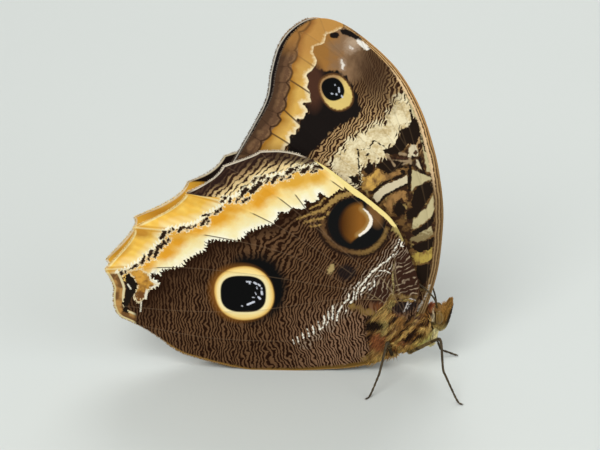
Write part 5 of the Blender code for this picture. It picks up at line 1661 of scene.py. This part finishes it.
inner, growing, turns, thickness = TONGUE_COIL
coil = []
for share in np.linspace(0.0, 1.0, TONGUE_STATIONS):
    angle = 2 * math.pi * turns * share
    reach = inner + growing * share
    coil.append((TONGUE_CENTRE[0] + reach * math.cos(angle), 0.0, TONGUE_CENTRE[2] + reach * math.sin(angle),
                 thickness))
tongue = add_mesh("proboscis", *tube(coil, 10, 0.08), chitin.material)
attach(tongue, "root")
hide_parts("proboscis")


def length_along(path):
    """How far along a path each of its points lies."""
    return np.append(0.0, np.cumsum(np.linalg.norm(np.diff(path[:, :3], axis=0), axis=1)))


for side, name in ((-1, "antenna_right"), (1, "antenna_left")):
    tucked = np.array(ANTENNA_TUCKED)
    between = (fore_bow(tucked) + hind_bow(tucked)) / 2
    route = [(x, side * y, z) for x, y, z in ANTENNA_FREE]
    route += [(x, side * y, z) for (x, z), y in zip(tucked, between)]
    path = spline(route, 0.17)
    length = length_along(path)
    club = rise(length - length[-1] + CLUB[1], 2.2)
    radius = (ANTENNA_RADIUS - 0.04) + (CLUB[0] - ANTENNA_RADIUS) * club * club * (3 - 2 * club)
    radius *= np.clip((length[-1] - length) / 0.8 + 0.25, 0, 1) ** 0.5
    radius *= 1.0 - RING_DEPTH * (np.cos(2 * math.pi * length / RING_PITCH) > 0.55)
    feeler = add_mesh(name, *tube(np.column_stack((path, radius)), 10, 1.0), chitin.material)
    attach(feeler, "root")
    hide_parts(name)

# ---------------------------------------------------------------------------------------------
# Legs: two pairs of walking legs of thin dark cuticle, each a thigh, a shin and five short foot
# joints with claws. The front pair is a pair of small hairy brushes held against the chest.
# Stations of each leg from the body down: x, y, z and radius.
WALKING_LEGS = {
    "midleg_right": (
        (31.2, -1.6, 7.4, 0.45), (31.5, -3, 5.4, 0.5), (33.2, -4.6, 7.2, 0.52), (38, -8.5, 12.6, 0.4),
        (38.9, -9.5, 13, 0.38), (39.2, -11, 11.6, 0.34), (39.5, -14, 7.6, 0.31), (40.2, -15, 6, 0.3),
        (42.2, -17.2, 2.2, 0.28), (43.3, -18.2, 0.45, 0.27), (44, -18.6, 0.28, 0.25)),
    "midleg_left": (
        (31, 1.6, 7.4, 0.45), (30.2, 3, 4.8, 0.5), (32.4, 4, 5.4, 0.52), (36.6, 5.4, 8.2, 0.4),
        (37.5, 5.6, 8.3, 0.38), (38.1, 5.4, 7.2, 0.34), (39.4, 4.8, 3, 0.31), (40.2, 4.4, 1.4, 0.3),
        (42.4, 3.9, 0.7, 0.28), (43.6, 3.6, 0.35, 0.27), (44, 3.5, 0.28, 0.25)),
    "hindleg_right": (
        (28, -1.4, 7, 0.45), (27.4, -3.2, 5, 0.5), (27, -4.4, 6.2, 0.52), (26.1, -7.6, 11, 0.4),
        (25.7, -8.5, 11.4, 0.38), (25.2, -9.6, 9.8, 0.34), (24, -12.4, 5.8, 0.31), (23.5, -13.2, 4.6, 0.3),
        (22, -15, 1.5, 0.28), (21.3, -15.7, 0.4, 0.27), (20.7, -16.2, 0.28, 0.25)),
    "hindleg_left": (
        (28, 1.4, 7, 0.45), (27.4, 3.2, 5, 0.5), (27, 4.4, 6, 0.52), (26.1, 7, 10.2, 0.4),
        (25.7, 7.8, 10.6, 0.38), (25.2, 8.4, 9.2, 0.34), (24, 9.6, 5.4, 0.31), (23.5, 10, 4.2, 0.3),
        (21.8, 11, 1.4, 0.28), (21, 11.4, 0.4, 0.27), (20.4, 11.7, 0.28, 0.25)),
}
FORELEG = (
    (34.6, 1.3, 11.6, 0.4), (35.4, 1.7, 9.4, 0.46), (36.2, 1.9, 8, 0.46), (36.9, 1.9, 7.7, 0.42),
    (37.4, 1.8, 8.4, 0.4), (37.8, 1.6, 9.6, 0.34), (38, 1.5, 10.4, 0.26))
CLAW = ((0.0, 0.10), (0.22, 0.075), (0.42, 0.02))     # reach beyond the foot, and radius
FOOT_LENGTH, FOOT_JOINT = 7.0, 1.4
THIGH_SHARE = 0.60                                    # of a leg's length from the toe, to the knee
LEG_SKIN, FORELEG_SKIN = 0.92, 0.8                    # share of the radii that lies under the scales,
THIGH_FUR, JOINT_DEPTH = 0.36, 0.20                   # and how much less on thighs and foot joints

leg_scale = tuft_shape("leg_scale", 0.12, 0.16, 0.6)
for name, stations in WALKING_LEGS.items():
    path = spline(stations, 0.3)
    length = length_along(path)
    from_toe = length[-1] - length
    thigh = rise(from_toe - from_toe.max() * THIGH_SHARE, 1.2)
    foot = rise(FOOT_LENGTH - from_toe, 0.5)
    path[:, 3] *= LEG_SKIN - JOINT_DEPTH * foot * (np.cos(2 * math.pi * from_toe / FOOT_JOINT) < -0.4)
    path[:, 3] *= 1.0 - THIGH_FUR * thigh
    toe, way = path[-1, :3], path[-1, :3] - path[-3, :3]
    way = np.array((way[0], way[1], 0.0)) / math.hypot(way[0], way[1])
    beside = np.array((-way[1], way[0], 0.0))
    shapes = [tube(path, 12, 5.0)]
    for spread in (-1, 1):
        claw = [(*(toe + way * (0.1 + reach) + beside * spread * (0.10 + 0.35 * reach)
                   - (0.0, 0.0, 0.02 + 0.45 * reach ** 2)), radius) for reach, radius in CLAW]
        shapes.append(tube(claw, 6, 0.08))
    leg = add_mesh(name, *join_shapes(shapes), chitin.material)
    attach(leg, "root")
    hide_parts(name)
    place = millimetres(leg.data)
    nearest = ((place[:, None] - path[None, ::2, :3]) ** 2).sum(2).argmin(1) * 2
    on_thigh = thigh[nearest]
    paint_points(leg, layered(place, (0.060, 0.040, 0.017), ((0.27, 0.185, 0.065), on_thigh),
                              ((0.045, 0.026, 0.010), 1.6 * waviness(place, 2.4, 62) * on_thigh)))
    unwrap_whole(leg, 0.01)
    share = np.where(from_toe[nearest] > 0.4, 0.55 + 0.45 * on_thigh, 0.0)
    grow(name + "_scales", bed_on("scales", leg), leg_scale, 40.0, 61, share,
         read(leg.data.vertex_normals, "vector", 3), np.gradient(path[:, :3], axis=0)[nearest],
         (0.26 + 0.4 * on_thigh, 0.32 + 0.33 * on_thigh, 0.16 + 0.5 * on_thigh), (0.6, 1.5), 0.7)

for side, name in ((-1, "foreleg_right"), (1, "foreleg_left")):
    stations = [(x, side * y, z, radius * FORELEG_SKIN) for x, y, z, radius in FORELEG]
    leg = add_mesh(name, *tube(stations), coat_paint.material)
    place = millimetres(leg.data)
    paint_points(leg, layered(place, (0.78, 0.68, 0.34), ((0.38, 0.28, 0.10), waviness(place, 3.0, 8))))
    unwrap_whole(leg, 0.01)
    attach(leg, "root")
    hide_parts(name)
    lie = np.tile((0.5, 0.0, -0.8), (len(place), 1))
    lie[place[:, 0] > 36.9] = (0.25, 0.0, 1.0)
    grow(name + "_brush", bed_on("brush", leg), bristle, 90.0, 31 + side, 1.0,
         read(leg.data.vertex_normals, "vector", 3), lie, (1.3, 0.8, 1.5), (0.6, 1.5))

for pattern in (fur, lock, fringe_scale, bristle, leg_scale):
    bpy.data.objects.remove(pattern)
